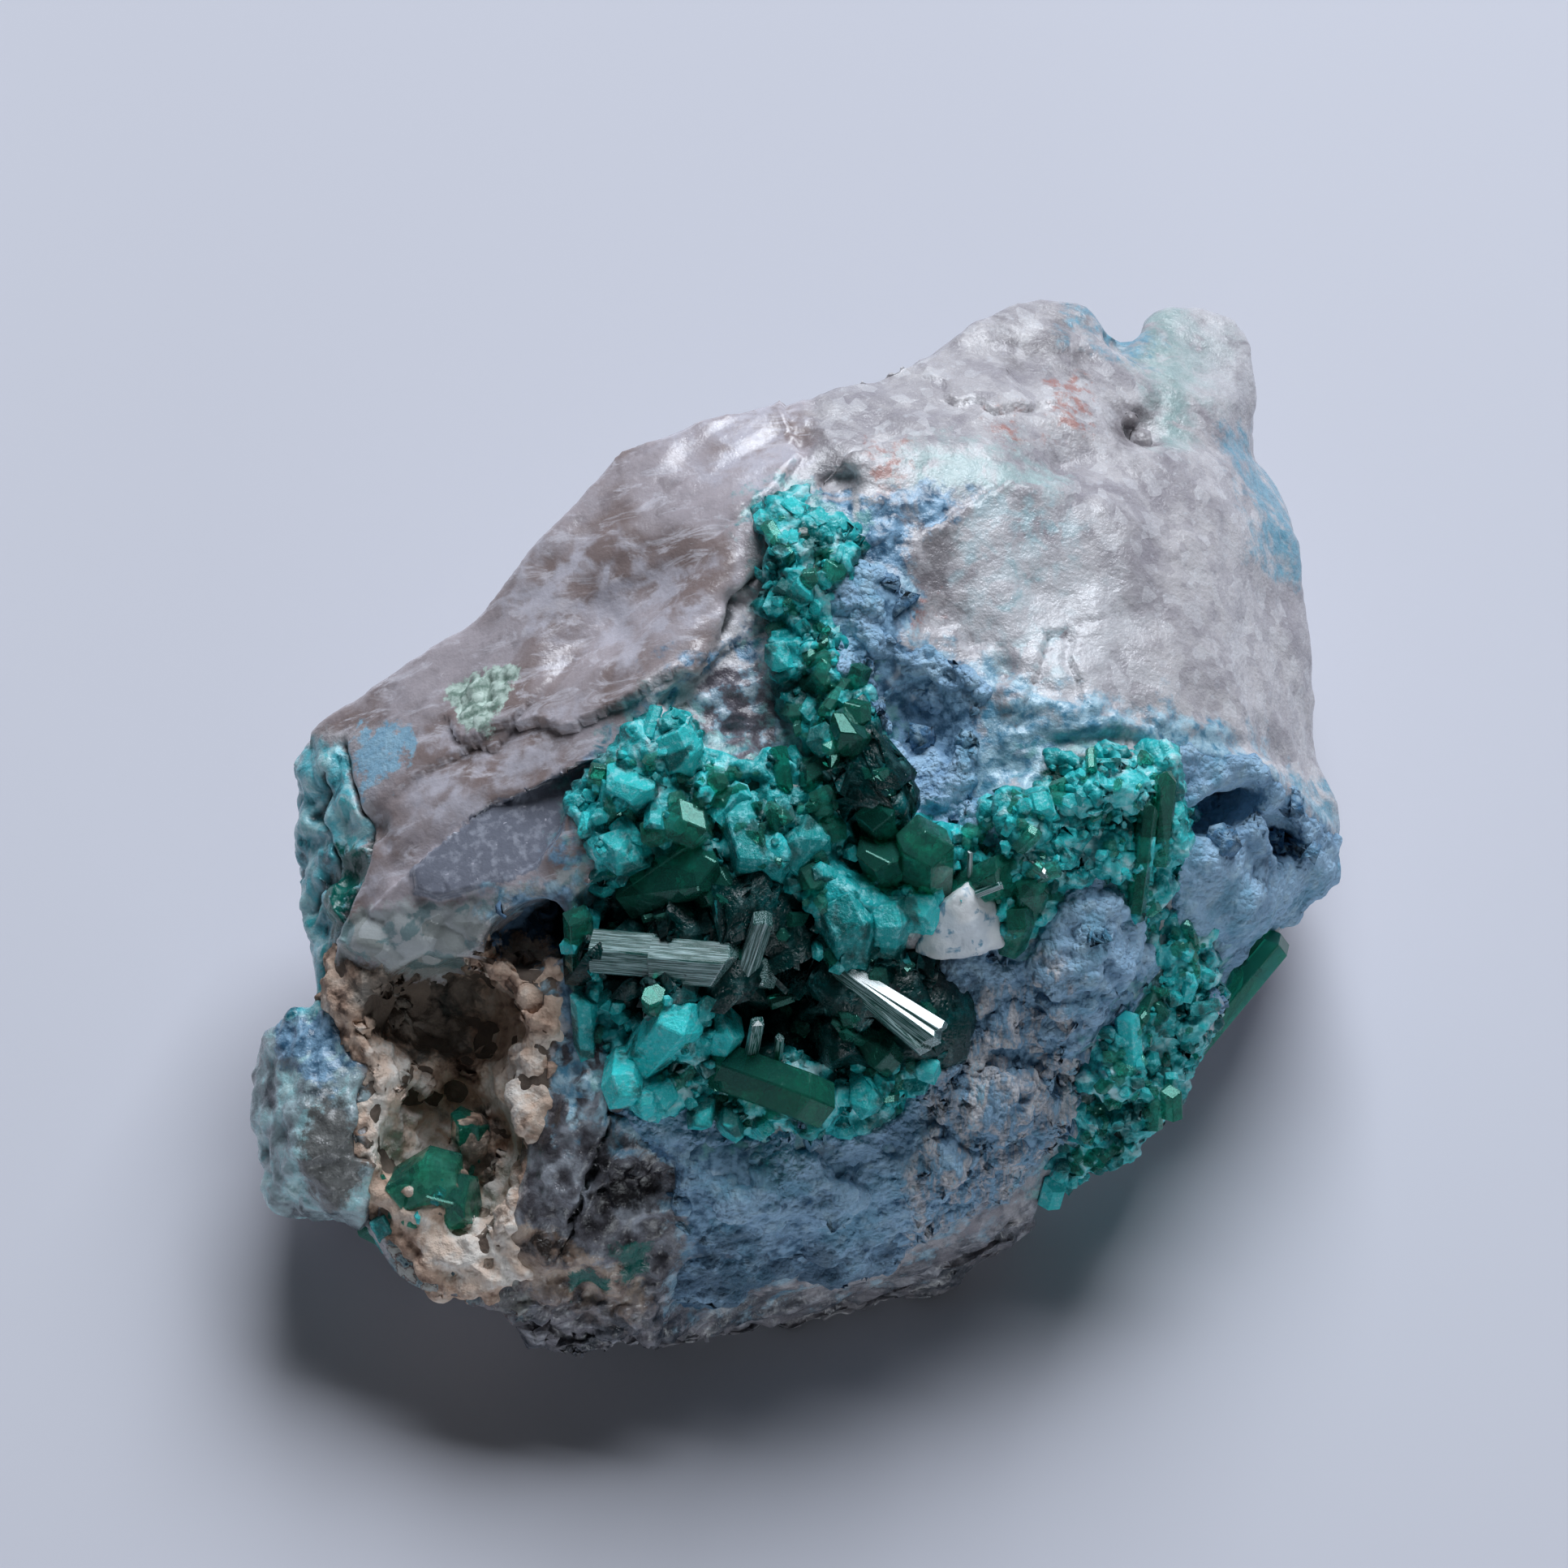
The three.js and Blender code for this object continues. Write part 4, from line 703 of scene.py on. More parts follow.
class Recipe:
    """The nodes of one material or node group, added one after another."""

    def __init__(self, tree):
        self.tree = tree
        self.coords = None

    def add(self, kind, values=None, **settings):
        node = self.tree.nodes.new(kind)
        for key, value in settings.items():
            setattr(node, key, value)
        for key, value in (values or {}).items():
            self.feed(node.inputs[key], value)
        return node

    def feed(self, socket, value):
        if isinstance(value, bpy.types.NodeSocket):
            self.tree.links.new(value, socket)
        else:
            socket.default_value = value

    def where(self):
        if self.coords is None:
            self.coords = self.add("ShaderNodeTexCoord").outputs["Object"]
        return self.coords

    def drawn_out(self, scale, turn=(0, 0, 0)):
        angles = [math.radians(a) for a in turn]
        return self.add("ShaderNodeMapping", {"Vector": self.where(), "Rotation": angles,
                                              "Scale": scale}).outputs[0]

    def grain(self, size, detail=3, places=None, rough=0.55, warp=0.0):
        return self.add("ShaderNodeTexNoise", {
            "Vector": places or self.where(), "Scale": 1 / (size * MM), "Detail": detail,
            "Roughness": rough, "Distortion": warp}).outputs["Fac"]

    def cells(self, size, places=None, output="Distance", metric="EUCLIDEAN"):
        return self.add("ShaderNodeTexVoronoi", {
            "Vector": places or self.where(), "Scale": 1 / (size * MM)},
            distance=metric).outputs[output]

    def sum(self, operation, first, second=0.0):
        node = self.add("ShaderNodeMath", operation=operation)
        self.feed(node.inputs[0], first)
        self.feed(node.inputs[1], second)
        return node.outputs[0]

    def slope(self, value, low, high, bottom=0.0, top=1.0):
        return self.add("ShaderNodeMapRange", {
            "Value": value, "From Min": low, "From Max": high, "To Min": bottom,
            "To Max": top}, interpolation_type="SMOOTHSTEP").outputs["Result"]

    def blend(self, share, first, second, how="MIX"):
        node = self.add("ShaderNodeMix", data_type="RGBA", blend_type=how)
        self.feed(node.inputs["Factor"], share)
        self.feed(node.inputs[6], first)
        self.feed(node.inputs[7], second)
        return node.outputs[2]

    def wash(self, mask, most, first, second):
        return self.blend(self.sum("MULTIPLY", mask, most), first, second)

    def steps(self, value, stops):
        node = self.add("ShaderNodeValToRGB", {"Fac": value})
        ramp = node.color_ramp
        while len(ramp.elements) < len(stops):
            ramp.elements.new(0.5)
        for element, (position, colour) in zip(ramp.elements, stops):
            element.position, element.color = position, colour
        return node.outputs["Color"]

    def stored(self, name):
        return self.add("ShaderNodeAttribute", attribute_name=name).outputs["Fac"]

    def bump(self, height, strength, distance=0.2, normal=None):
        values = {"Height": height, "Strength": strength, "Distance": distance * MM}
        if normal:
            values["Normal"] = normal
        return self.add("ShaderNodeBump", values).outputs["Normal"]


# %% A shared effect: the ragged border of a mineral
def ragged_border():
    """Turns a distance into a mask with a torn edge."""
    group = bpy.data.node_groups.new("ragged_border", "ShaderNodeTree")
    for name, value in {"Distance": 0.0, "Tear": 0.8, "Grain": 1.0, "Softness": 0.15}.items():
        socket = group.interface.new_socket(name, in_out="INPUT", socket_type="NodeSocketFloat")
        socket.default_value = value
    group.interface.new_socket("Mask", in_out="OUTPUT", socket_type="NodeSocketFloat")
    recipe = Recipe(group)
    given = recipe.add("NodeGroupInput").outputs
    size = recipe.sum("DIVIDE", 1 / MM, given["Grain"])
    torn = recipe.add("ShaderNodeTexNoise", {"Vector": recipe.where(), "Scale": size, "Detail": 4.0,
                                             "Roughness": 0.72}).outputs["Fac"]
    torn = recipe.sum("MULTIPLY", recipe.sum("SUBTRACT", torn, 0.5), given["Tear"])
    reach = recipe.sum("ADD", given["Distance"], recipe.sum("MULTIPLY", torn, 6.0))
    low = recipe.sum("MULTIPLY", given["Softness"], -1.0)
    mask = recipe.slope(reach, low, given["Softness"])
    recipe.add("NodeGroupOutput", {"Mask": mask})
    return group


RAGGED = ragged_border()


def patch(recipe, name, tear=0.8, grain=2.2, softness=0.4, shift=0.0):
    """The torn mask of one stored distance."""
    distance = recipe.sum("ADD", recipe.stored(name), shift)
    node = recipe.add("ShaderNodeGroup", node_tree=RAGGED)
    for key, value in {"Distance": distance, "Tear": tear, "Grain": grain,
                       "Softness": softness}.items():
        recipe.feed(node.inputs[key], value)
    return node.outputs["Mask"]


def material(name):
    """An empty material and its recipe, Principled shader included."""
    made = bpy.data.materials.new(name)
    made.use_nodes = True
    recipe = Recipe(made.node_tree)
    return made, recipe, made.node_tree.nodes["Principled BSDF"]


# %% [markdown]
# ### Quartz and its stains
# Clear and milky quartz lets light in a little way and sends it back out, so its edges glow. Light
# under the surface is done with subsurface scattering. Over the quartz lie thin stains of copper
# minerals: each is a colour that a torn mask lets through, thinned by a cloud of its own. The
# lower side, the underside of the slab and the cracks also get painted shade, and pale sugary
# grains are partly painted sparkle.

# %% The quartz material
quartz, q, shader = material("quartz_with_stains")
big, mid, small = q.grain(4.2, 4, warp=0.7), q.grain(1.5, 4, warp=0.3), q.grain(0.5, 4)
milky = q.blend(q.slope(q.grain(6.5, 4, warp=0.8), 0.4, 0.6), tint(170, 165, 171), tint(206, 202, 205))
milky = q.wash(q.slope(big, 0.5, 0.62), 0.5, milky, tint(220, 217, 219))
milky = q.wash(q.slope(mid, 0.46, 0.36), 0.4, milky, tint(158, 152, 159))
milky = q.wash(q.slope(small, 0.6, 0.68), 0.4, milky, tint(224, 226, 232))
sugar = q.cells(0.75, output="Color")
# pale grains are partly painted sparkle; the dark grains are grain tone
milky = q.wash(q.slope(sugar, 0.6, 0.8), 0.35, milky, tint(232, 232, 236))
milky = q.wash(q.slope(sugar, 0.4, 0.22), 0.3, milky, tint(146, 140, 150))
fibre_way = q.drawn_out((1, 3.0, 1.6), (25, 10, 35))
fibres = q.slope(q.grain(3.2, 4, fibre_way, 0.74, 0.9), 0.5, 0.66)
cloud = q.slope(q.grain(6.0, 4, warp=0.8), 0.38, 0.62)
brown_glass = q.blend(cloud, tint(150, 134, 132), tint(190, 181, 187))
brown_glass = q.wash(q.slope(mid, 0.52, 0.66), 0.4, brown_glass, tint(128, 117, 120))
brown_glass = q.wash(fibres, 0.75, brown_glass, tint(222, 218, 226))
colour = q.blend(patch(q, "slab", 0.4, 2.0, 0.5), milky, brown_glass)
colour = q.blend(q.sum("MULTIPLY", patch(q, "white_vein", 1.6, 3.0, 1.6), q.slope(mid, 0.4, 0.6)), colour,
                 tint(206, 202, 212))
facet_colour = q.blend(q.slope(small, 0.45, 0.7), tint(128, 132, 146), tint(164, 168, 182))
colour = q.blend(patch(q, "facet", 0.25, 1.2, 0.12), colour, facet_colour)
flake = q.slope(q.grain(0.8, 2, q.drawn_out((1, 2.1, 1.4), (0, 30, 30)), warp=0.6), 0.68, 0.71)
colour = q.blend(q.sum("MULTIPLY", flake, patch(q, "facet", 0.1, 1.0, 0.1, -0.3)), colour,
                 tint(204, 204, 216))
smoky_brown = q.steps(mid, [(0.32, tint(46, 44, 48)), (0.45, tint(88, 86, 92)), (0.55, tint(128, 130, 138)),
                            (0.68, tint(192, 198, 208))])
colour = q.blend(patch(q, "brown", 0.6, 2.0, 0.3), colour, smoky_brown)
layers = q.grain(0.9, 4, q.drawn_out((0.4, 1.0, 2.6), (18, 14, 0)), 0.65, 0.4)
layered = q.steps(layers, [(0.36, tint(66, 74, 84)), (0.46, tint(134, 136, 144)), (0.54, tint(178, 178, 186)),
                           (0.64, tint(206, 208, 216))])
colour = q.blend(patch(q, "rim", 0.7, 2.4, 0.5), colour, layered)
chalcedony = q.steps(q.grain(1.9, 4, warp=0.5), [(0.36, tint(86, 98, 106)), (0.44, tint(144, 162, 168)),
                                                 (0.52, tint(176, 200, 206)), (0.58, tint(178, 224, 230)),
                                                 (0.66, tint(206, 238, 240))])
colour = q.blend(patch(q, "lobe", 0.4, 1.6, 0.3), colour, chalcedony)
fin_crust = q.steps(q.grain(1.7, 4, warp=0.6), [(0.36, tint(28, 112, 128)), (0.44, tint(104, 202, 216)),
                                                (0.51, tint(140, 204, 216)), (0.58, tint(186, 230, 236)),
                                                (0.66, tint(84, 196, 204))])
colour = q.blend(patch(q, "fin", 0.5, 1.8, 0.3), colour, fin_crust)
pearly = q.blend(q.slope(q.cells(1.3, output="Color"), 0.25, 0.8), tint(164, 170, 168), tint(198, 204, 206))
pearly = q.wash(q.slope(mid, 0.54, 0.6), 0.6, pearly, tint(90, 140, 146))
colour = q.blend(patch(q, "grains", 0.5, 1.4, 0.3), colour, pearly)

behind_face = q.slope(q.stored("front"), 0.8, 0.25)
far = q.grain(11.0, 4, warp=0.9)
side_brown = q.sum("MULTIPLY", q.slope(far, 0.56, 0.64), behind_face)
colour = q.wash(side_brown, 0.4, colour, layered)
blue_dust = q.blend(q.slope(q.grain(0.6, 4), 0.35, 0.65), tint(60, 100, 130), tint(150, 190, 220))
light_blue = q.blend(q.slope(q.grain(0.8, 4, warp=0.5), 0.35, 0.62), tint(96, 154, 184), tint(190, 224, 240))
teal_film = q.blend(q.slope(q.grain(0.7, 4), 0.35, 0.65), tint(48, 136, 148), tint(156, 210, 208))
side_blue = q.sum("MULTIPLY", q.slope(far, 0.44, 0.38), behind_face)
colour = q.blend(side_blue, colour, blue_dust)
thin = q.slope(q.grain(1.1, 4, warp=0.6), 0.42, 0.6)
thick = q.slope(q.grain(1.7, 4, warp=0.8), 0.3, 0.5)

for name, film, tear, grain, softness, share in [
    ("pale_green", q.blend(small, tint(146, 186, 188), tint(206, 228, 226)), 1.2, 2.5, 1.0,
     q.sum("MULTIPLY", thick, 0.8)),
    ("sugar_teal", q.blend(small, tint(140, 178, 190), tint(206, 226, 230)), 1.6, 2.6, 1.2, thin),
    ("knob_green", q.blend(small, tint(110, 168, 166), tint(168, 204, 200)), 1.3, 3.0, 1.2,
     q.sum("MULTIPLY", thick, 0.6)),
    ("pale", tint(222, 222, 226), 1.3, 3.4, 2.0, q.sum("MULTIPLY", thick, 0.7)),
    ("lobe_glass", q.blend(small, tint(70, 72, 74), tint(150, 152, 150)), 0.7, 1.4, 0.4, 1.0),
    ("smoky", tint(124, 118, 122), 1.1, 2.2, 1.0, q.sum("MULTIPLY", thick, 0.8)),
    ("edge_teal", q.blend(small, tint(56, 118, 148), tint(150, 206, 226)), 1.4, 2.4, 0.9, thick),
    ("ridge", light_blue, 1.2, 2.2, 0.7, thick),
    ("pocket_edge", blue_dust, 1.2, 2.0, 0.7, thin),
    ("seam_blue", blue_dust, 1.1, 2.0, 0.5, thick),
    ("end_blue", q.blend(small, tint(116, 166, 198), tint(180, 216, 234)), 0.9, 1.6, 0.3, 1.0),
    ("lobe_blue", blue_dust, 0.7, 1.6, 0.3, thick),
    ("film", light_blue, 1.0, 1.8, 0.5, thin),
    ("lower_brown", q.steps(mid, [(0.36, tint(40, 60, 76)), (0.48, tint(112, 112, 120)),
                                  (0.6, tint(176, 174, 180))]), 0.9, 2.0, 0.5, 1.0),
    ("island", q.steps(q.grain(0.9, 4), [(0.38, tint(96, 90, 98)), (0.52, tint(128, 124, 134)),
                                         (0.58, tint(150, 176, 194)), (0.66, tint(206, 222, 234))]),
     0.5, 1.6, 0.3, 1.0),
    ("blue", blue_dust, 0.5, 1.6, 0.3, 1.0),
    ("green", q.blend(mid, tint(2, 30, 28), tint(14, 96, 88)), 0.4, 1.6, 0.3, 1.0),
    ("vug", q.blend(mid, tint(60, 52, 48), tint(150, 132, 118)), 0.3, 1.0, 0.2, 1.0),
    ("tan_streak", q.steps(mid, [(0.4, tint(60, 52, 48)), (0.5, tint(160, 138, 124)),
                                 (0.6, tint(206, 186, 170))]), 0.9, 1.8, 0.4, thick),
    ("mottled", q.steps(q.grain(0.8, 4, warp=0.5), [
        (0.36, tint(24, 58, 80)), (0.45, tint(150, 176, 180)), (0.51, tint(88, 56, 42)),
        (0.57, tint(184, 186, 180))]), 0.6, 1.6, 0.3, 1.0),
    # painted shade on the lower side and under the slab
    ("painted_low_shade", q.blend(q.slope(mid, 0.4, 0.6), tint(54, 62, 72), tint(128, 124, 130)), 1.2, 2.2, 0.9,
     q.sum("MULTIPLY", thick, 0.8)),
    ("glassy_dark", tint(30, 24, 26), 0.25, 1.2, 0.2, 0.92),
    ("green_specks", q.blend(small, tint(4, 70, 64), tint(24, 128, 116)), 0.5, 1.2, 0.2, 1.0),
    ("mint", q.blend(q.slope(small, 0.35, 0.62), tint(120, 146, 134), tint(204, 224, 214)),
     0.3, 1.0, 0.1, 1.0),
]:
    mask = q.sum("MULTIPLY", patch(q, name, tear, grain, softness), share)
    colour = q.blend(mask, colour, film)
rust = q.sum("MULTIPLY", patch(q, "rust", 0.9, 1.4, 0.6), q.slope(q.grain(0.6, 4), 0.44, 0.6))
colour = q.wash(rust, 0.7, colour, tint(182, 112, 96))
for name, film, reach in (("green", teal_film, 0.9), ("blue", light_blue, 0.7)):
    rim = q.sum("MULTIPLY", patch(q, name, 1.0, 1.8, 0.5, reach), q.slope(q.stored(name), 0.3, -0.2))
    colour = q.blend(q.sum("MULTIPLY", q.sum("MULTIPLY", rim, thin), 0.8), colour, film)
# dark cracks: partly their dark fill, partly painted shade in the trenches; the seam line is a painted shadow
colour = q.wash(q.slope(q.stored("crack"), 0.3, 0.9), 0.85, colour, tint(26, 34, 40))
shine = q.slope(small, 0.3, 0.7, 0.12, 0.36)
dull = q.sum("MAXIMUM", patch(q, "blue", 0.5, 1.6), q.sum("MAXIMUM", patch(q, "vug", 0.3, 1.0),
                                                        patch(q, "mint", 0.3, 1.0)))
fine = q.sum("ADD", q.sum("ADD", q.sum("MULTIPLY", q.grain(0.24, 4), 0.5), q.sum("MULTIPLY", sugar, 0.12)),
             q.grain(0.9, 4, rough=0.62))
q.feed(shader.inputs["Base Color"], colour)
q.feed(shader.inputs["Roughness"], q.sum("MAXIMUM", shine, q.sum("MULTIPLY", dull, 0.9)))
calm = q.slope(q.stored("slab"), -0.4, 0.8, 1.0, 0.35)
q.feed(shader.inputs["Normal"], q.bump(q.sum("MULTIPLY", fine, calm), 0.5, 0.32))
settle(shader, {
    "Subsurface Weight": 0.22, "Coat Weight": 0.35, "Coat Roughness": 0.22,
    "Subsurface Radius": (1.0, 0.9, 0.85), "Subsurface Scale": 1.0 * MM})
stone.data.materials.append(quartz)
print("quartz nodes:", len(quartz.node_tree.nodes))

# %% [markdown]
# ## Crusts on the face
# A crust is a layer of the plain skin, lifted off where its mineral covers the face and cut fine.
# Its middle stands a little above the stone and its border dips under it, so the stone itself
# trims the edge. Relief on it gives the lumps, a thickness closes it, and its triangles are held
# under a limit.

# %% Lift a layer off
def layer(name, outlines, stand=0.35, dip=0.4, tear=0.3, cuts=2):
    """A lifted layer of the skin over some zones of the face."""
    piece = bpy.data.objects.new(name, plain.data.copy())
    bpy.context.scene.collection.objects.link(piece)
    x, y, _ = chart_of(points_of(piece))
    kept = (deepest(outlines, x, y) > -0.8) & (plain_behind < 8)
    pick_faces(piece, [not all(kept[v] for v in face.vertices) for face in piece.data.polygons])
    bpy.ops.mesh.delete(type="FACE")
    bpy.ops.mesh.select_all(action="SELECT")
    bpy.ops.mesh.subdivide(number_cuts=cuts)
    bpy.ops.object.mode_set(mode="OBJECT")
    modify(piece, "SMOOTH", factor=0.5, iterations=2)
    places = points_of(piece)
    x, y, _ = chart_of(places)
    gap = frayed(deepest(outlines, x, y), places, 0.9, tear)
    rise = smooth(-0.7, 0.4, gap)
    piece.data.attributes.new("start", "FLOAT_VECTOR", "POINT").data.foreach_set(
        "vector", places.astype(np.float32).ravel())
    move_to(piece, places + normals_of(piece) * (rise * (stand + dip) - dip)[:, None] * MM)
    weigh(piece, "rise", rise)
    return piece


def zone(piece, name, outlines, low=-0.3, high=0.6):
    """A vertex group over some outlines on a layer, within its own rise."""
    x, y, _ = chart_of(points_of(piece))
    rise = np.zeros(len(x))
    for i, vertex in enumerate(piece.data.vertices):
        rise[i] = sum(member.weight for member in vertex.groups if member.group == 0)
    weigh(piece, name, smooth(low, high, deepest(outlines, x, y)) * rise)


def close_layer(piece, thickness=0.5, zones=None, most=LAYER_LIMIT):
    """Stores how high each place of a layer stands, gives it a thickness and holds its triangles down."""
    start = np.empty(len(piece.data.vertices) * 3, dtype=np.float32)
    piece.data.attributes["start"].data.foreach_get("vector", start)
    start = start.reshape(-1, 3).astype(float)
    height = np.einsum("ij,ij->i", points_of(piece) - start, normals_of(piece)) / MM
    modify(piece, "SOLIDIFY", thickness=thickness * MM, offset=-1, vertex_group="rise",
           thickness_vertex_group=0.3)
    piece.vertex_groups.clear()
    piece.data.attributes.remove(piece.data.attributes["start"])
    count = len(piece.data.vertices)
    x, y, _ = chart_of(np.resize(start, (count, 3)))
    note(piece, "height", np.resize(height, count))
    for key, outlines in (zones or {}).items():
        note(piece, key, np.clip(deepest(outlines, x, y), -FAR, FAR))
    if triangles(piece) > most:
        modify(piece, "DECIMATE", ratio=most / triangles(piece))
    only(piece)
    bpy.ops.object.shade_smooth()
    print(piece.name + ":", triangles(piece), "triangles, height",
          [round(float(h), 2) for h in np.percentile(height, [1, 50, 99])])


def lumps(piece, sizes, group="rise"):
    """Round beads in several sizes, one on top of another."""
    for size, height in sizes:
        relief(piece, "VORONOI", size, -height, group, distance_metric="DISTANCE_SQUARED",
               middle=0.25, turn=(size * 40, size * 70, 0))


def sink(piece, pits):
    """Presses round pits into a layer: (chart place, half width in mm, depth in mm)."""
    places = points_of(piece)
    x, y, _ = chart_of(places)
    press = np.zeros(len(x))
    for (pit_x, pit_y), half, depth_of in pits:
        press += depth_of * np.exp(-(np.hypot(x - pit_x, y - pit_y) / UNITS / half) ** 2)
    move_to(piece, places - normals_of(piece) * press[:, None] * MM)


def press_in(piece, outlines, depth_of):
    """Lowers a layer over some outlines."""
    places = points_of(piece)
    x, y, _ = chart_of(places)
    press = depth_of * smooth(-0.2, 0.9, deepest(outlines, x, y))
    move_to(piece, places - normals_of(piece) * press[:, None] * MM)


# %% Blue crusts
MIXED = [[(1165, 1250), (1300, 1200), (1350, 1290), (1330, 1390), (1285, 1440), (1230, 1505), (1160, 1545),
          (1110, 1560), (1120, 1450), (1150, 1350)]]
SHADED = [[(835, 1560), (900, 1530), (1100, 1540), (1200, 1500), (1240, 1560), (1000, 1640), (840, 1630)],
          [(1150, 1180), (1200, 1190), (1220, 1300), (1160, 1310), (1140, 1240)]]
blue_material, b, blue_shader = material("slate_blue_velvet")
height = b.stored("height")
broad, dusty = b.grain(3.6, 4, warp=0.4), b.grain(0.9, 4)
# painted shade: the crust is dark where it lies low in its grooves and light on its lumps
blue = b.blend(b.slope(height, -0.5, 0.5), tint(64, 112, 150), tint(178, 216, 246))
blue = b.wash(b.slope(broad, 0.48, 0.64), 0.6, blue, tint(108, 172, 200))
blue = b.wash(b.slope(dusty, 0.5, 0.66), 0.55, blue, tint(194, 226, 244))
blue = b.wash(b.slope(broad, 0.46, 0.34), 0.5, blue, tint(118, 158, 194))
blue = b.wash(patch(b, "shaded", 2.2, 2.0, 1.6), 0.7, blue, tint(40, 68, 94))
strata = b.grain(1.7, 4, b.drawn_out((1.8, 0.6, 0.9), (0, 0, 28)), 0.68, 0.5)
pinkish = b.steps(strata, [(0.38, tint(56, 98, 132)), (0.46, tint(128, 172, 202)),
                           (0.53, tint(184, 192, 204)), (0.59, tint(226, 222, 224)),
                           (0.68, tint(160, 208, 232))])
blue = b.blend(b.sum("MULTIPLY", patch(b, "mixed", 1.3, 2.6, 0.9), b.slope(strata, 0.4, 0.5)), blue, pinkish)
b.feed(blue_shader.inputs["Base Color"], blue)
fine = b.sum("ADD", b.sum("MULTIPLY", b.cells(0.3), -0.9), b.sum("MULTIPLY", b.grain(0.14, 4), 0.7))
b.feed(blue_shader.inputs["Normal"], b.bump(fine, 0.9, 0.26))
settle(blue_shader, {
    "Roughness": 0.92, "Specular IOR Level": 0.2, "Sheen Weight": 0.2, "Sheen Roughness": 0.6,
    "Sheen Tint": (0.7, 0.85, 1.0, 1)})

blue_zones = {"mixed": MIXED, "shaded": SHADED}
upper_blue = layer("velvet_in_the_blue_pocket", [BLUE_POCKET])
relief(upper_blue, "CLOUDS", 3.5, 0.8, "rise", noise_depth=3)
lumps(upper_blue, [(4.2, 1.2), (1.8, 1.0), (0.8, 0.5), (0.42, 0.24)])
close_layer(upper_blue, zones=blue_zones)
lower_blue = layer("velvet_of_the_lower_side", [LOWER_BLUE])
zone(lower_blue, "mixed", MIXED)
relief(lower_blue, "CLOUDS", 5, 1.4, "rise", noise_depth=2)
relief(lower_blue, "CLOUDS", 1.2, 0.4, "rise", noise_depth=3)
lumps(lower_blue, [(2.4, 0.9), (1.1, 0.55), (0.5, 0.26)])
relief(lower_blue, "CLOUDS", (3.4, 1.2, 1.0), 1.1, "mixed", turn=(20, 20, -40), noise_depth=4)
relief(lower_blue, "VORONOI", 0.9, 0.35, "mixed", distance_metric="MANHATTAN")
close_layer(lower_blue, zones=blue_zones)
right_blue = layer("velvet_of_the_right_end", [RIGHT_BLUE])
relief(right_blue, "CLOUDS", 4, 1.2, "rise", noise_depth=2)
lumps(right_blue, [(3.4, 0.8), (1.2, 0.25), (0.46, 0.14)])
close_layer(right_blue, zones=blue_zones)
for piece, node in [(upper_blue, "upper_blue_crust"), (lower_blue, "lower_blue_crust"),
                    (right_blue, "right_blue_crust")]:
    piece.data.materials.append(blue_material)
    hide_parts(node)

# %% [markdown]
# ## Green crystals
# Four crystals are modelled: six-sided prisms whose end is closed by three rhombic faces, two of
# them chipped by a slanting cut. All others are copies of these, each with its own place,
# direction, width, length and tone.

# %% One crystal
def model_crystal(slope=0.3, edge=0.03, chip=None):
    """A prism one unit wide and one long, standing on its foot."""
    bpy.ops.mesh.primitive_cylinder_add(vertices=6, radius=0.5, depth=1, end_fill_type="TRIFAN",
                                        location=(0, 0, 0.5))
    crystal = bpy.context.object
    bpy.ops.object.transform_apply(location=True)
    for vertex in crystal.data.vertices:
        if vertex.co.z > 0.5 and vertex.co.xy.length > 0.1:
            turn = int(math.atan2(vertex.co.y, vertex.co.x) / math.radians(60) + 6)
            vertex.co.z -= slope * (1 + turn % 2)
    bpy.ops.object.mode_set(mode="EDIT")
    bpy.ops.mesh.select_all(action="SELECT")
    bpy.ops.mesh.dissolve_limited(angle_limit=math.radians(2))
    if chip:
        bpy.ops.mesh.select_all(action="SELECT")
        bpy.ops.mesh.bisect(plane_co=chip[0], plane_no=chip[1], use_fill=True, clear_outer=True)
    bpy.ops.mesh.select_all(action="SELECT")
    bpy.ops.mesh.bevel(offset=edge, offset_type="OFFSET", segments=1, affect="EDGES")
    bpy.ops.mesh.quads_convert_to_tris()
    bpy.ops.object.mode_set(mode="OBJECT")
    shape = points_of(crystal), [tuple(face.vertices) for face in crystal.data.polygons]
    bpy.data.objects.remove(crystal)
    return shape


CRYSTALS = [model_crystal(0.16, 0.02), model_crystal(0.27, 0.025),
            model_crystal(0.2, 0.02, ((0.15, 0.1, 0.75), (0.8, 0.3, 0.5))),
            model_crystal(0.1, 0.02, ((0, 0, 0.8), (-0.3, 0.5, 0.9)))]
print("crystal shapes:", [(len(points), len(faces)) for points, faces in CRYSTALS])


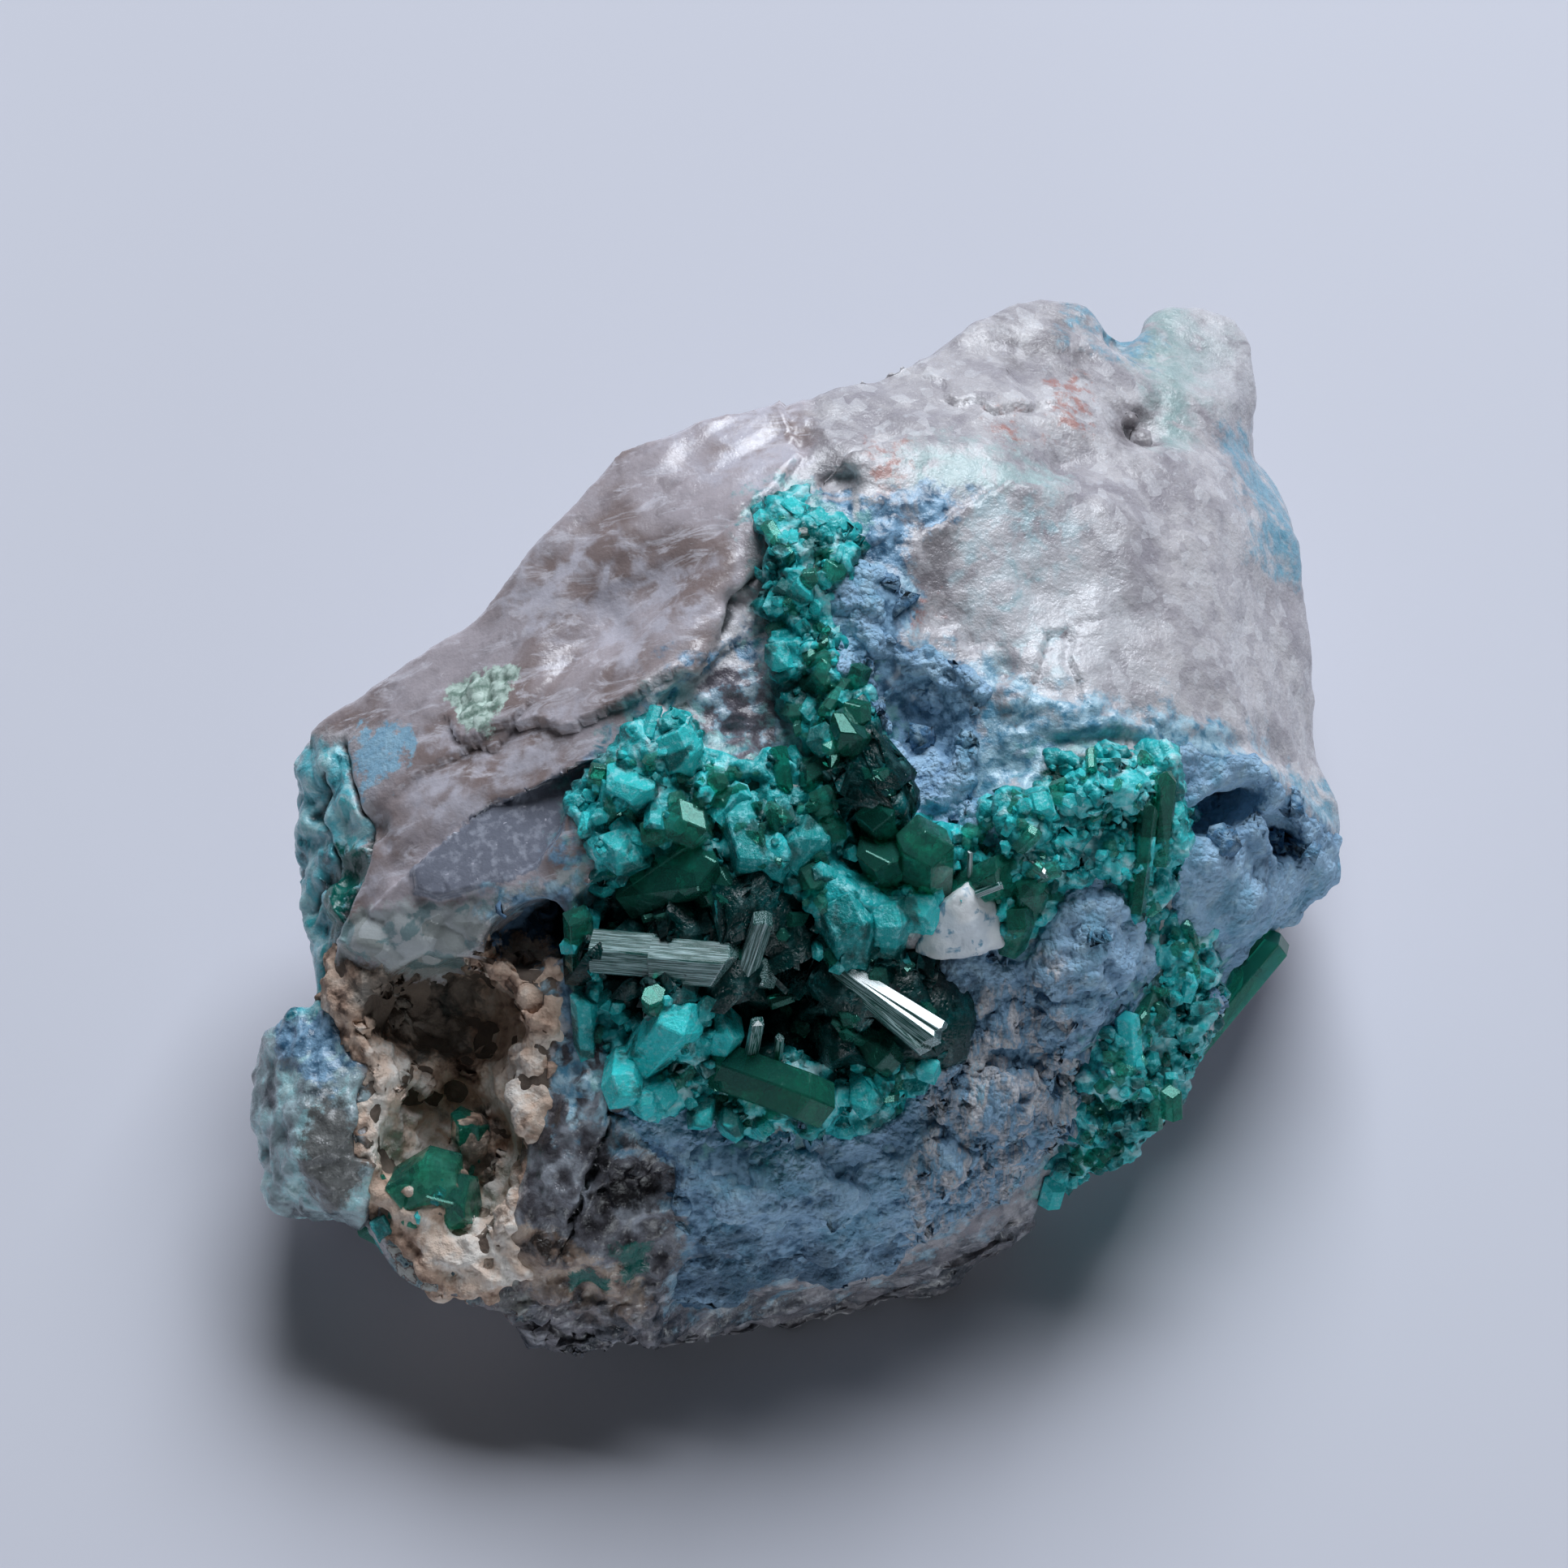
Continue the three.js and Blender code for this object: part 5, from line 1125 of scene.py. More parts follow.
# %% Copies of them
def grow(name, crystals, materials):
    """One piece of many crystals: (foot, direction, width, length, roll, flatness, tone, material)."""
    all_points, all_faces, inner, tones, slots, start = [], [], [], [], [], 0
    for index, (foot, direction, width, length, roll, flat, tone, kind) in enumerate(crystals):
        points, faces = CRYSTALS[index * 7 % len(CRYSTALS)]
        turned = direction.to_track_quat("Z", "Y").to_matrix() @ Matrix.Rotation(roll, 3, "Z")
        tip = points.copy()
        top = tip[:, 2] > 0.3
        tip[:, 0] *= width
        tip[:, 1] *= width * flat
        tip[top, 2] = length - (1 - tip[top, 2]) * min(width, length)
        tip[~top, 2] *= 0.2
        inner.append(tip + index * 3.7)
        all_points.append(tip @ np.array(turned).T * MM + np.array(foot))
        all_faces += [tuple(v + start for v in face) for face in faces]
        start += len(points)
        tones += [tone] * len(points)
        slots += [kind] * len(faces)
    mesh = bpy.data.meshes.new(name)
    mesh.from_pydata(np.concatenate(all_points).tolist(), [], all_faces)
    piece = bpy.data.objects.new(name, mesh)
    bpy.context.scene.collection.objects.link(piece)
    for one in materials:
        mesh.materials.append(one)
    mesh.polygons.foreach_set("material_index", slots)
    mesh.update()
    note(piece, "tone", tones)
    mesh.attributes.new("own_place", "FLOAT_VECTOR", "POINT").data.foreach_set(
        "vector", np.concatenate(inner).astype(np.float32).ravel())
    print(name + ":", len(crystals), "crystals,", triangles(piece), "triangles")
    return piece


def strewn(outlines, count, seed, tree, widths, stretch=(1.2, 2.6), cloudy=0.3, tone=0.4, bury=0.6,
           lean=0.6, main=None):
    """Crystals set at random on the surface that a zone of the face shows."""
    chance = random.Random(seed)
    corners = np.array([corner for outline in outlines for corner in outline])
    low, high = corners.min(axis=0), corners.max(axis=0)
    crystals = []
    while len(crystals) < count:
        px, py = chance.uniform(low[0], high[0]), chance.uniform(low[1], high[1])
        if deepest(outlines, np.array([px]), np.array([py]))[0] < 0.1:
            continue
        if deepest(KEPT_FREE, np.array([px]), np.array([py]))[0] > -0.1:
            continue
        hit, normal, _, _ = tree.ray_cast(EYE, (place(px, py, 0) - EYE).normalized())
        if hit is None:
            continue
        wild = Vector([chance.gauss(0, 1) for _ in range(3)])
        direction = ((main or normal + OUT * 0.4) + wild * lean).normalized()
        width = widths[0] + (widths[1] - widths[0]) * chance.random() ** 2.4
        length = width * chance.uniform(*stretch)
        kind = 1 if chance.random() < cloudy else 0
        crystals.append((hit - direction * length * bury * MM, direction, width, length,
                         chance.uniform(0, math.pi), chance.uniform(0.6, 1.1),
                         min(max(chance.gauss(tone, 0.28), 0), 1), kind))
    return crystals


def roll_for(direction, facing):
    """The roll about a crystal's axis that turns one of its side faces to a given direction."""
    turned = direction.to_track_quat("Z", "Y").to_matrix()
    local = turned.transposed() @ facing
    return math.atan2(local.y, local.x)


KEPT_FREE = [
    [(740, 1146), (915, 1150), (915, 1220), (740, 1216)], [(900, 1120), (955, 1120), (955, 1195),
     (900, 1195)],
    [(1000, 1180), (1060, 1196), (1175, 1290), (1150, 1320), (1010, 1220)],
    [(905, 1250), (975, 1250), (975, 1310), (905, 1310)], [(1036, 880), (1110, 960), (1110, 1045),
     (1030, 1040)],
    [(1110, 1005), (1170, 1005), (1170, 1085), (1110, 1085)],
    [(890, 1315), (1060, 1320), (1060, 1390), (930, 1390)], [(780, 1050), (895, 1045), (895, 1105),
     (790, 1112)],
]
GLINT = (OUT + WINDOW.normalized()).normalized()


def placed(rows):
    """Crystals given by foot and tip as chart places with a depth: (foot, tip, width, flatness, tone,
    material, the side its widest face looks to)."""
    crystals = []
    for foot, tip, width, flat, tone, kind, facing in rows:
        start, end = place(*foot), place(*tip)
        way = (end - start).normalized()
        side = (facing - way * facing.dot(way)).normalized()
        crystals.append((start, way, width, (end - start).length / MM, roll_for(way, side), flat, tone, kind))
    return crystals


# %% [markdown]
# The crystals come in three kinds. Clear ones pass light and swallow its red part on the way;
# frosted ones scatter it near their rough surface; striated ones mirror the window from faces that
# are ribbed along their length. Pale frost on the frosted ones and pale ribs on the striated ones are
# partly painted highlight. Each crystal carries its own coordinates, so the ribs follow it.

# %% Green materials
clear_green, c, clear_shader = material("clear_green_crystal")
tone = c.stored("tone")
c.feed(clear_shader.inputs["Base Color"], c.blend(tone, tint(70, 200, 176), tint(150, 250, 232)))
c.feed(clear_shader.inputs["Roughness"], c.slope(c.grain(0.5, 3), 0.4, 0.7, 0.03, 0.16))
settle(clear_shader, {"Transmission Weight": 0.88, "IOR": 1.5, "Specular Tint": (0.45, 1.0, 0.85, 1)})
absorption = c.add("ShaderNodeVolumeAbsorption", {"Color": (0.0, 0.74, 0.62, 1), "Density": 1800.0})
clear_green.node_tree.links.new(absorption.outputs["Volume"],
                                clear_green.node_tree.nodes["Material Output"].inputs["Volume"])

frosty, f, frosty_shader = material("frosted_green_crystal")
tone = f.stored("tone")
teal = f.blend(tone, tint(10, 128, 130), tint(56, 228, 230))
# pale frost speckles: partly a frosted look, partly painted highlight on faces the window would light
frost = f.slope(f.grain(0.45, 4, rough=0.72), 0.5, 0.64)
teal = f.wash(frost, 0.7, teal, tint(150, 238, 242))
teal = f.wash(f.slope(f.grain(2.2, 4, warp=0.5), 0.5, 0.38), 0.85, teal, tint(2, 72, 68))
f.feed(frosty_shader.inputs["Base Color"], teal)
f.feed(frosty_shader.inputs["Roughness"], f.slope(f.grain(0.4, 3), 0.35, 0.7, 0.08, 0.36))
f.feed(frosty_shader.inputs["Normal"], f.bump(f.grain(0.26, 4, rough=0.7), 0.8, 0.2))
settle(frosty_shader, {
    "Subsurface Weight": 0.15, "Subsurface Radius": (0.3, 1.0, 0.8), "Subsurface Scale": 0.7 * MM})

striated, s, striated_shader = material("striated_green_crystal")
own = s.add("ShaderNodeAttribute", attribute_name="own_place").outputs["Vector"]
ribs_way = s.add("ShaderNodeMapping", {"Vector": own, "Scale": (20.0, 20.0, 0.6)}).outputs[0]
ribs = s.add("ShaderNodeTexNoise", {"Vector": ribs_way, "Scale": 1.0, "Detail": 4.0}).outputs["Fac"]
breaks_way = s.add("ShaderNodeMapping", {"Vector": own, "Scale": (2.6, 2.6, 1.4)}).outputs[0]
breaks = s.add("ShaderNodeTexNoise", {"Vector": breaks_way, "Scale": 1.0, "Detail": 5.0}).outputs["Fac"]
# the pale silvery ribs are partly painted highlight: colour standing in for the window mirrored by the ribbed
# faces
s.feed(striated_shader.inputs["Base Color"],
       s.blend(s.slope(ribs, 0.46, 0.6), tint(10, 92, 84), tint(170, 204, 206)))
s.feed(striated_shader.inputs["Normal"],
       s.bump(s.sum("ADD", ribs, s.sum("MULTIPLY", breaks, 1.4)), 0.8, 0.08))
s.feed(striated_shader.inputs["Roughness"], s.slope(breaks, 0.4, 0.66, 0.12, 0.4))
settle(striated_shader, {"Coat Weight": 1.0, "Coat Roughness": 0.24, "Coat IOR": 2.3})

base_green, g, base_shader = material("grown_green_mass")
chips, flecks, cloudy = g.grain(1.0, 4, warp=0.4), g.grain(0.4, 4), g.grain(2.4, 4, warp=0.5)
# painted shade: the mass is dark where it lies low between its chips and light where it stands out
deep = g.blend(g.slope(g.stored("height"), -0.5, 0.8), tint(8, 96, 98), tint(48, 192, 196))
# the pale chips and the palest steps below are partly painted highlight on the rough mass
deep = g.wash(g.slope(chips, 0.54, 0.66), 0.6, deep, tint(150, 232, 236))
deep = g.wash(g.slope(cloudy, 0.47, 0.38), 0.75, deep, tint(2, 72, 68))
bright = g.steps(chips, [(0.34, tint(8, 124, 128)), (0.45, tint(50, 198, 202)), (0.54, tint(110, 226, 230)),
                         (0.64, tint(190, 240, 244))])
deep = g.blend(g.sum("MULTIPLY", patch(g, "bright", 1.2, 2.2, 0.6), g.slope(cloudy, 0.36, 0.5)), deep, bright)
# painted shade: the voids between the crystals are painted near black
deep = g.wash(patch(g, "dark", 1.0, 2.2, 0.6), 0.85, deep, tint(2, 38, 36))
g.feed(base_shader.inputs["Base Color"], deep)
g.feed(base_shader.inputs["Roughness"], g.slope(flecks, 0.35, 0.7, 0.12, 0.5))
g.feed(base_shader.inputs["Normal"], g.bump(g.sum("ADD", flecks, chips), 0.7, 0.25))
settle(base_shader, {
    "Subsurface Weight": 0.1, "Subsurface Radius": (0.3, 1.0, 0.8), "Subsurface Scale": 0.7 * MM})

# %% The green masses
UPPER_LEFT = [
    (735, 960), (785, 895), (840, 872), (872, 912), (905, 945), (880, 1000), (885, 1060), (850, 1085),
    (790, 1110), (735, 1100), (715, 1030), (705, 985),
]
SEAM_TOP = [
    (935, 620), (990, 605), (1045, 690), (1020, 740), (1030, 790), (1000, 830), (960, 830), (950, 760),
]
SEAM_FOOT = [
    (1000, 790), (1060, 830), (1085, 900), (1060, 960), (1000, 940), (970, 870),
]
MIDDLE_MASS = [
    (885, 950), (1000, 930), (1060, 960), (1105, 1010), (1110, 1090), (1090, 1190), (1010, 1200),
    (990, 1110), (900, 1080), (870, 1010),
]
LOWER_LEFT = [
    (745, 1225), (880, 1225), (890, 1330), (870, 1370), (790, 1370), (745, 1300),
]
LOWER_EDGE = [
    (870, 1340), (890, 1395), (960, 1395), (1110, 1370), (1165, 1290), (1120, 1305), (1010, 1320),
    (900, 1310),
]
CORNER = [(1095, 1060), (1180, 1050), (1180, 1100), (1120, 1160), (1085, 1150)]
LEFT_EDGE = [(700, 1110), (745, 1110), (745, 1300), (715, 1250)]
# the dark zone is the voids, painted as shade
green_zones = {"bright": [UPPER_LEFT, SEAM_TOP, LOWER_LEFT, LOWER_EDGE, CORNER, RIGHT_GREEN, LOWER_GREEN],
               "dark": VOID}
green_parts = []
for name, outlines, node in [("green_mass_of_the_pocket", [POCKET, SEAM], "green_crystal_cluster"),
                             ("green_mass_at_the_right", [RIGHT_GREEN], "right_green_crystals"),
                             ("green_mass_below", [LOWER_GREEN], "lower_right_green_crystals")]:
    piece = layer(name, outlines, stand=0.25, tear=0.4)
    relief(piece, "VORONOI", 2.2, 1.1, "rise", turn=(30, 10, 0), distance_metric="MANHATTAN")
    relief(piece, "VORONOI", 1.2, 0.6, "rise", turn=(0, 50, 20), distance_metric="CHEBYCHEV")
    relief(piece, "VORONOI", 0.5, 0.2, "rise", distance_metric="MANHATTAN")
    press_in(piece, VOID, 2.6)
    close_layer(piece, zones=green_zones)
    piece.data.materials.append(base_green)
    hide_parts(node)
    green_parts.append(piece)
pocket_mass, right_mass, lower_mass = green_parts

# %% Crystals of the pocket
CLEAR, FROSTED, STRIATED = 0, 1, 2
greens = [clear_green, frosty, striated]
pocket_rows = [
    ((733, 1172, 8.4), (826, 1180, 9.4), 2.5, 1, 0.6, STRIATED, GLINT),
    ((806, 1184, 9.2), (914, 1192, 10.3), 2.8, 0.9, 0.6, STRIATED, GLINT),
    ((880, 1196, 8.6), (960, 1200, 9.6), 1.8, 0.9, 0.6, STRIATED, GLINT),
    ((918, 1200, 9.4), (944, 1122, 11.3), 1.3, 0.9, 0.5, STRIATED, GLINT),
    ((905, 1222, 7.8), (927, 1166, 10.1), 1.5, 1, 0.0, CLEAR, OUT),
    ((1030, 1192, 9.0), (1164, 1274, 10.3), 1.3, 0.9, 0.5, STRIATED, GLINT + UP * 0.1),
    ((1034, 1198, 9.0), (1148, 1294, 10.2), 1.4, 0.9, 0.5, STRIATED, GLINT + UP * 0.25),
    ((1032, 1194, 9.1), (1160, 1286, 10.4), 1.3, 0.9, 0.5, STRIATED, GLINT + RIGHT * 0.15),
    ((1000, 1230, 6.0), (1110, 1312, 8.4), 2.4, 0.9, 0.2, CLEAR, GLINT),
    ((1028, 990, 6.8), (1056, 880, 11.2), 2.4, 1, 0.1, CLEAR, OUT),
    ((1050, 1010, 7.4), (1082, 950, 11.3), 2.7, 1, 0.0, CLEAR, OUT),
    ((1095, 1040, 7.8), (1075, 985, 11.3), 2.2, 1, 0.0, CLEAR, OUT),
    ((1138, 1100, 7.4), (1140, 1024, 11.3), 3.2, 0.9, 0.3, CLEAR, GLINT),
    ((935, 1075, 6.8), (948, 1008, 11.3), 4.8, 0.9, 0.35, FROSTED, OUT),
    ((1000, 1075, 6.8), (985, 1030, 11.3), 3.0, 1, 0.3, FROSTED, OUT),
    ((1050, 1205, 7.2), (1046, 1100, 11.2), 3.3, 0.9, 0.3, FROSTED, OUT),
    ((1085, 1190, 7.0), (1100, 1115, 10.8), 2.4, 0.9, 0.5, FROSTED, OUT),
    ((1100, 1090, 7.4), (1080, 1040, 11.0), 2.6, 0.9, 0.2, CLEAR, OUT),
    ((780, 1105, 7.4), (885, 1062, 10.7), 2.9, 0.9, 0.1, CLEAR, GLINT),
    ((870, 1100, 7.4), (900, 1090, 10.8), 2.6, 0.9, 0.15, CLEAR, OUT),
    ((716, 1212, 6.4), (711, 1118, 8.6), 1.9, 0.8, 0.5, CLEAR, OUT),
    ((724, 1300, 5.8), (718, 1222, 8.0), 1.7, 0.8, 0.6, FROSTED, OUT),
    ((730, 1240, 6.0), (742, 1150, 8.4), 1.5, 0.7, 0.6, FROSTED, OUT),
    ((880, 1312, 6.8), (1030, 1366, 10.0), 3.0, 0.9, 0.1, CLEAR, GLINT),
    ((930, 1370, 5.5), (990, 1345, 9.1), 2.2, 0.9, 0.2, CLEAR, OUT),
    ((905, 1335, 5.5), (898, 1404, 8.1), 1.6, 0.9, 0.8, FROSTED, OUT),
    ((878, 1335, 5.5), (858, 1388, 8.3), 1.6, 0.9, 0.8, FROSTED, OUT),
    ((932, 1345, 5.5), (942, 1404, 7.7), 1.3, 0.9, 0.8, FROSTED, OUT),
    ((790, 1310, 6.6), (852, 1238, 10.6), 3.4, 0.8, 1.0, FROSTED, OUT),
    ((880, 1306, 6.2), (902, 1252, 9.2), 2.4, 0.8, 0.9, FROSTED, OUT),
    ((924, 1308, 7.6), (934, 1256, 10.2), 0.8, 0.9, 0.5, STRIATED, GLINT),
    ((958, 1308, 7.6), (961, 1276, 9.6), 0.5, 0.9, 0.5, STRIATED, GLINT),
    ((770, 1310, 6.8), (764, 1352, 10.0), 2.3, 0.9, 1.0, FROSTED, OUT),
    ((800, 1330, 5.7), (800, 1375, 8.5), 1.8, 0.9, 0.9, FROSTED, OUT),
    ((1060, 1320, 6.2), (1070, 1370, 8.8), 1.9, 0.9, 0.6, FROSTED, OUT),
    ((1125, 1300, 5.8), (1150, 1325, 8.6), 1.6, 0.9, 0.7, FROSTED, OUT),
    ((1110, 1110, 7.0), (1140, 1130, 10.4), 2.5, 0.9, 0.8, FROSTED, OUT),
    ((800, 990, 7.2), (772, 950, 10.8), 3.0, 0.9, 0.8, FROSTED, OUT),
    ((790, 1050, 7.4), (758, 1048, 10.8), 2.8, 0.9, 0.7, FROSTED, OUT),
    ((840, 960, 7.4), (835, 900, 10.8), 2.6, 0.9, 0.8, FROSTED, OUT),
    ((860, 1030, 7.8), (840, 1010, 11.3), 2.6, 0.9, 0.6, CLEAR, OUT),
    ((1000, 850, 6.1), (1028, 826, 9.5), 2.0, 0.9, 0.5, CLEAR, OUT),
    ((985, 815, 6.5), (952, 806, 9.1), 1.8, 0.9, 0.7, FROSTED, OUT),
    ((995, 750, 5.7), (982, 718, 8.9), 1.7, 0.9, 0.9, FROSTED, OUT),
    ((1014, 720, 5.7), (1032, 698, 8.3), 1.5, 0.9, 0.6, CLEAR, OUT),
    ((976, 666, 4.7), (962, 642, 7.7), 1.8, 0.9, 0.9, FROSTED, OUT),
    ((1004, 666, 4.9), (1024, 662, 7.5), 1.4, 0.9, 0.5, FROSTED, OUT),
    ((1040, 850, 6.1), (1062, 826, 9.1), 1.5, 0.9, 0.4, CLEAR, OUT),
    ((1030, 930, 7.2), (1060, 870, 10.6), 1.8, 0.9, 0.2, CLEAR, OUT),
]
mass = tree_of(pocket_mass)
crystals = placed(pocket_rows)
for zone_of, large, little, seed, width, cloudy_share, tone_of in [
    (UPPER_LEFT, 14, 110, 11, 1.7, 0.65, 0.7), (SEAM_TOP, 6, 60, 12, 1.5, 0.75, 0.8),
    (SEAM_FOOT, 6, 36, 13, 2.0, 0.4, 0.5), (MIDDLE_MASS, 12, 70, 14, 2.4, 0.35, 0.4),
    (LOWER_LEFT, 8, 60, 15, 1.9, 0.85, 0.8), (LOWER_EDGE, 8, 50, 16, 1.7, 0.65, 0.7),
    (CORNER, 4, 34, 17, 1.6, 0.9, 0.9), (LEFT_EDGE, 4, 6, 18, 1.6, 0.6, 0.6),
    (VOID[0], 3, 7, 19, 1.5, 0.0, 0.4), (VOID[1], 3, 5, 20, 1.6, 0.0, 0.4),
]:
    crystals += strewn([zone_of], large, seed, mass, (width * 0.55, width), (0.8, 1.5),
                       cloudy=cloudy_share, tone=tone_of)
    crystals += strewn([zone_of], little, seed + 40, mass, (0.35, 1.1), cloudy=cloudy_share, tone=tone_of)
cluster = grow("crystals_of_the_pocket", crystals, greens)
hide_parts("green_crystal_cluster")

# %% Crystals at the right, below and in the hollow
right_rows = [
    ((1270, 1025, 7.3), (1248, 990, 10.1), 2.1, 0.9, 0.5, CLEAR, OUT),
    ((1180, 1105, 7.3), (1252, 1072, 9.7), 2.4, 0.9, 0.15, CLEAR, GLINT),
    ((1235, 1090, 7.1), (1290, 1052, 9.5), 2.0, 0.9, 0.15, CLEAR, OUT),
    ((1262, 1052, 9.2), (1292, 1082, 9.7), 0.6, 0.9, 0.5, STRIATED, GLINT),
    ((1204, 1102, 9.3), (1236, 1090, 9.9), 0.5, 0.9, 0.5, STRIATED, GLINT),
    ((1195, 1080, 8.9), (1196, 1048, 9.8), 0.35, 0.9, 0.5, STRIATED, GLINT),
    ((1265, 1120, 7.1), (1275, 1085, 9.5), 2.0, 0.9, 0.3, CLEAR, OUT),
    ((1245, 1165, 6.7), (1262, 1120, 9.1), 1.8, 0.9, 0.3, CLEAR, OUT),
    ((1320, 1050, 6.9), (1330, 1000, 9.0), 1.5, 0.8, 0.7, FROSTED, OUT),
    ((1400, 1120, 5.9), (1418, 980, 8.1), 1.7, 0.6, 0.4, CLEAR, OUT),
    ((1430, 1060, 5.5), (1438, 950, 8.1), 1.6, 0.7, 0.5, CLEAR, OUT),
]
mass = tree_of(right_mass)
crystals = placed(right_rows) + strewn([RIGHT_GREEN], 16, 21, mass, (0.8, 1.5), (0.8, 1.4),
                                       cloudy=0.7, tone=0.7)
crystals += strewn([RIGHT_GREEN], 150, 61, mass, (0.3, 0.95), cloudy=0.7, tone=0.85)
right_crystals = grow("crystals_at_the_right", crystals, greens)
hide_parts("right_green_crystals")
lower_rows = [((1463, 1290, -6.4), (1579, 1150, -4.6), 2.1, 1, 0.4, CLEAR, GLINT)]
mass = tree_of(lower_mass)
blades = (place(1470, 1180, 4) - place(1350, 1430, 2)).normalized()
crystals = placed(lower_rows) + strewn([LOWER_GREEN], 18, 22, mass, (0.8, 1.6), (1.2, 2.2), cloudy=0.45,
                                       tone=0.55, lean=0.35, main=blades * 0.7 + OUT * 0.5)
crystals += strewn([LOWER_GREEN], 130, 62, mass, (0.3, 0.95), cloudy=0.6, tone=0.7)
lower_crystals = grow("crystals_below", crystals, greens)
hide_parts("lower_right_green_crystals")
hollow_rows = [
    ((460, 1500, -0.4), (560, 1440, 3.6), 3.6, 0.9, 0.5, CLEAR, OUT - UP * 0.5 + RIGHT * 0.4),
    ((510, 1520, 0.0), (590, 1470, 3.2), 3.0, 0.9, 0.4, CLEAR, OUT),
    ((520, 1500, 0.0), (500, 1450, 3.6), 2.8, 0.9, 0.5, CLEAR, OUT),
    ((478, 1530, 0.4), (470, 1500, 2.6), 1.6, 0.9, 0.9, FROSTED, OUT),
    ((500, 1530, 0.4), (515, 1520, 2.6), 1.6, 0.9, 0.8, FROSTED, OUT),
    ((582, 1470, -1.0), (578, 1368, 2.0), 2.2, 0.9, 0.0, CLEAR, OUT),
]
HOLLOW = [(465, 1440), (510, 1425), (560, 1410), (600, 1450), (590, 1510), (520, 1520), (470, 1520)]
crystals = placed(hollow_rows) + strewn([HOLLOW], 24, 23, tree_of(stone), (0.4, 1.3), cloudy=0.4, tone=0.5)
vug_crystals = grow("crystals_in_the_hollow", crystals, greens)
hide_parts("vug_green_crystals")

# %% [markdown]
# ## The tan hollow and the white chip
# The hollow is lined with a thin rough crust, tan above and cream on its floor and pierced by holes.
# Painted shade darkens its deep corner and the bottoms of its holes. The chip is a splinter of milky quartz.

# %% The tan lining
CREAM = [[(455, 1290), (520, 1315), (565, 1375), (560, 1430), (500, 1440), (460, 1440), (445, 1400)],
         [(530, 1505), (660, 1510), (655, 1575), (600, 1590), (540, 1560)],
         [(600, 1420), (645, 1420), (632, 1510), (598, 1510)], [(600, 1300), (670, 1300), (650, 1400),
          (610, 1390)]]
ROOF = [[(590, 1100), (705, 1095), (705, 1195), (670, 1170), (640, 1150), (600, 1190)]]
# the deep corner of the hollow and a hole in it, painted dark as shade
CAVE = [[(415, 1190), (600, 1195), (575, 1300), (480, 1290), (425, 1250)], [(560, 1370), (605, 1375),
        (605, 1450), (560, 1450)]]
tan_material, t, tan_shader = material("tan_lining")
height, rough_tan, fine_tan = t.stored("height"), t.grain(1.6, 4, warp=0.5), t.grain(0.4, 4)
tan = t.steps(rough_tan, [(0.32, tint(96, 78, 68)), (0.41, tint(184, 154, 136)), (0.52, tint(226, 198, 178)),
                          (0.66, tint(244, 228, 214))])
cream = t.blend(t.slope(rough_tan, 0.35, 0.6), tint(240, 216, 198), tint(255, 248, 240))
tan = t.blend(patch(t, "cream", 0.8, 2.0, 0.5), tan, cream)
tan = t.wash(t.slope(fine_tan, 0.52, 0.7), 0.25, tan, tint(150, 134, 124))
# painted shade in the deep corner of the hollow
tan = t.wash(patch(t, "painted_cave_shade", 1.0, 2.0, 0.6), 0.75, tan, tint(44, 54, 54))
dusky_roof = t.blend(rough_tan, tint(44, 74, 104), tint(110, 140, 168))
tan = t.blend(patch(t, "roof", 0.9, 1.6, 0.4), tan, dusky_roof)
# painted shade: the lining goes near black where it sinks into holes and pits
tan = t.blend(t.slope(height, -0.45, -1.1), tan, tint(34, 38, 38))
t.feed(tan_shader.inputs["Base Color"], tan)
t.feed(tan_shader.inputs["Normal"], t.bump(t.sum("ADD", fine_tan, rough_tan), 0.8, 0.3))
settle(tan_shader, {"Roughness": 0.9, "Specular IOR Level": 0.25})
tan_lining = layer("tan_lining_of_the_hollow", [VUG], stand=0.25, tear=0.5)
relief(tan_lining, "CLOUDS", (4, 1.4, 2.4), 1.4, "rise", turn=(0, 20, -35), noise_depth=2)
relief(tan_lining, "VORONOI", 1.1, 0.6, "rise", distance_metric="DISTANCE")
relief(tan_lining, "CLOUDS", 0.7, 0.3, "rise", noise_depth=3)
sink(tan_lining, [((650, 1190), 0.5, 1.2), ((650, 1232), 0.5, 1.2), ((515, 1337), 0.7, 1.2),
                  ((472, 1250), 0.8, 1.2), ((505, 1225), 0.7, 1.0), ((595, 1290), 0.5, 0.9),
                  ((560, 1345), 0.4, 0.8), ((600, 1185), 0.6, 1.0), ((600, 1560), 0.4, 0.6)])
close_layer(tan_lining, zones={"cream": CREAM, "painted_cave_shade": CAVE, "roof": ROOF})
tan_lining.data.materials.append(tan_material)
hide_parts("tan_vug_lining")

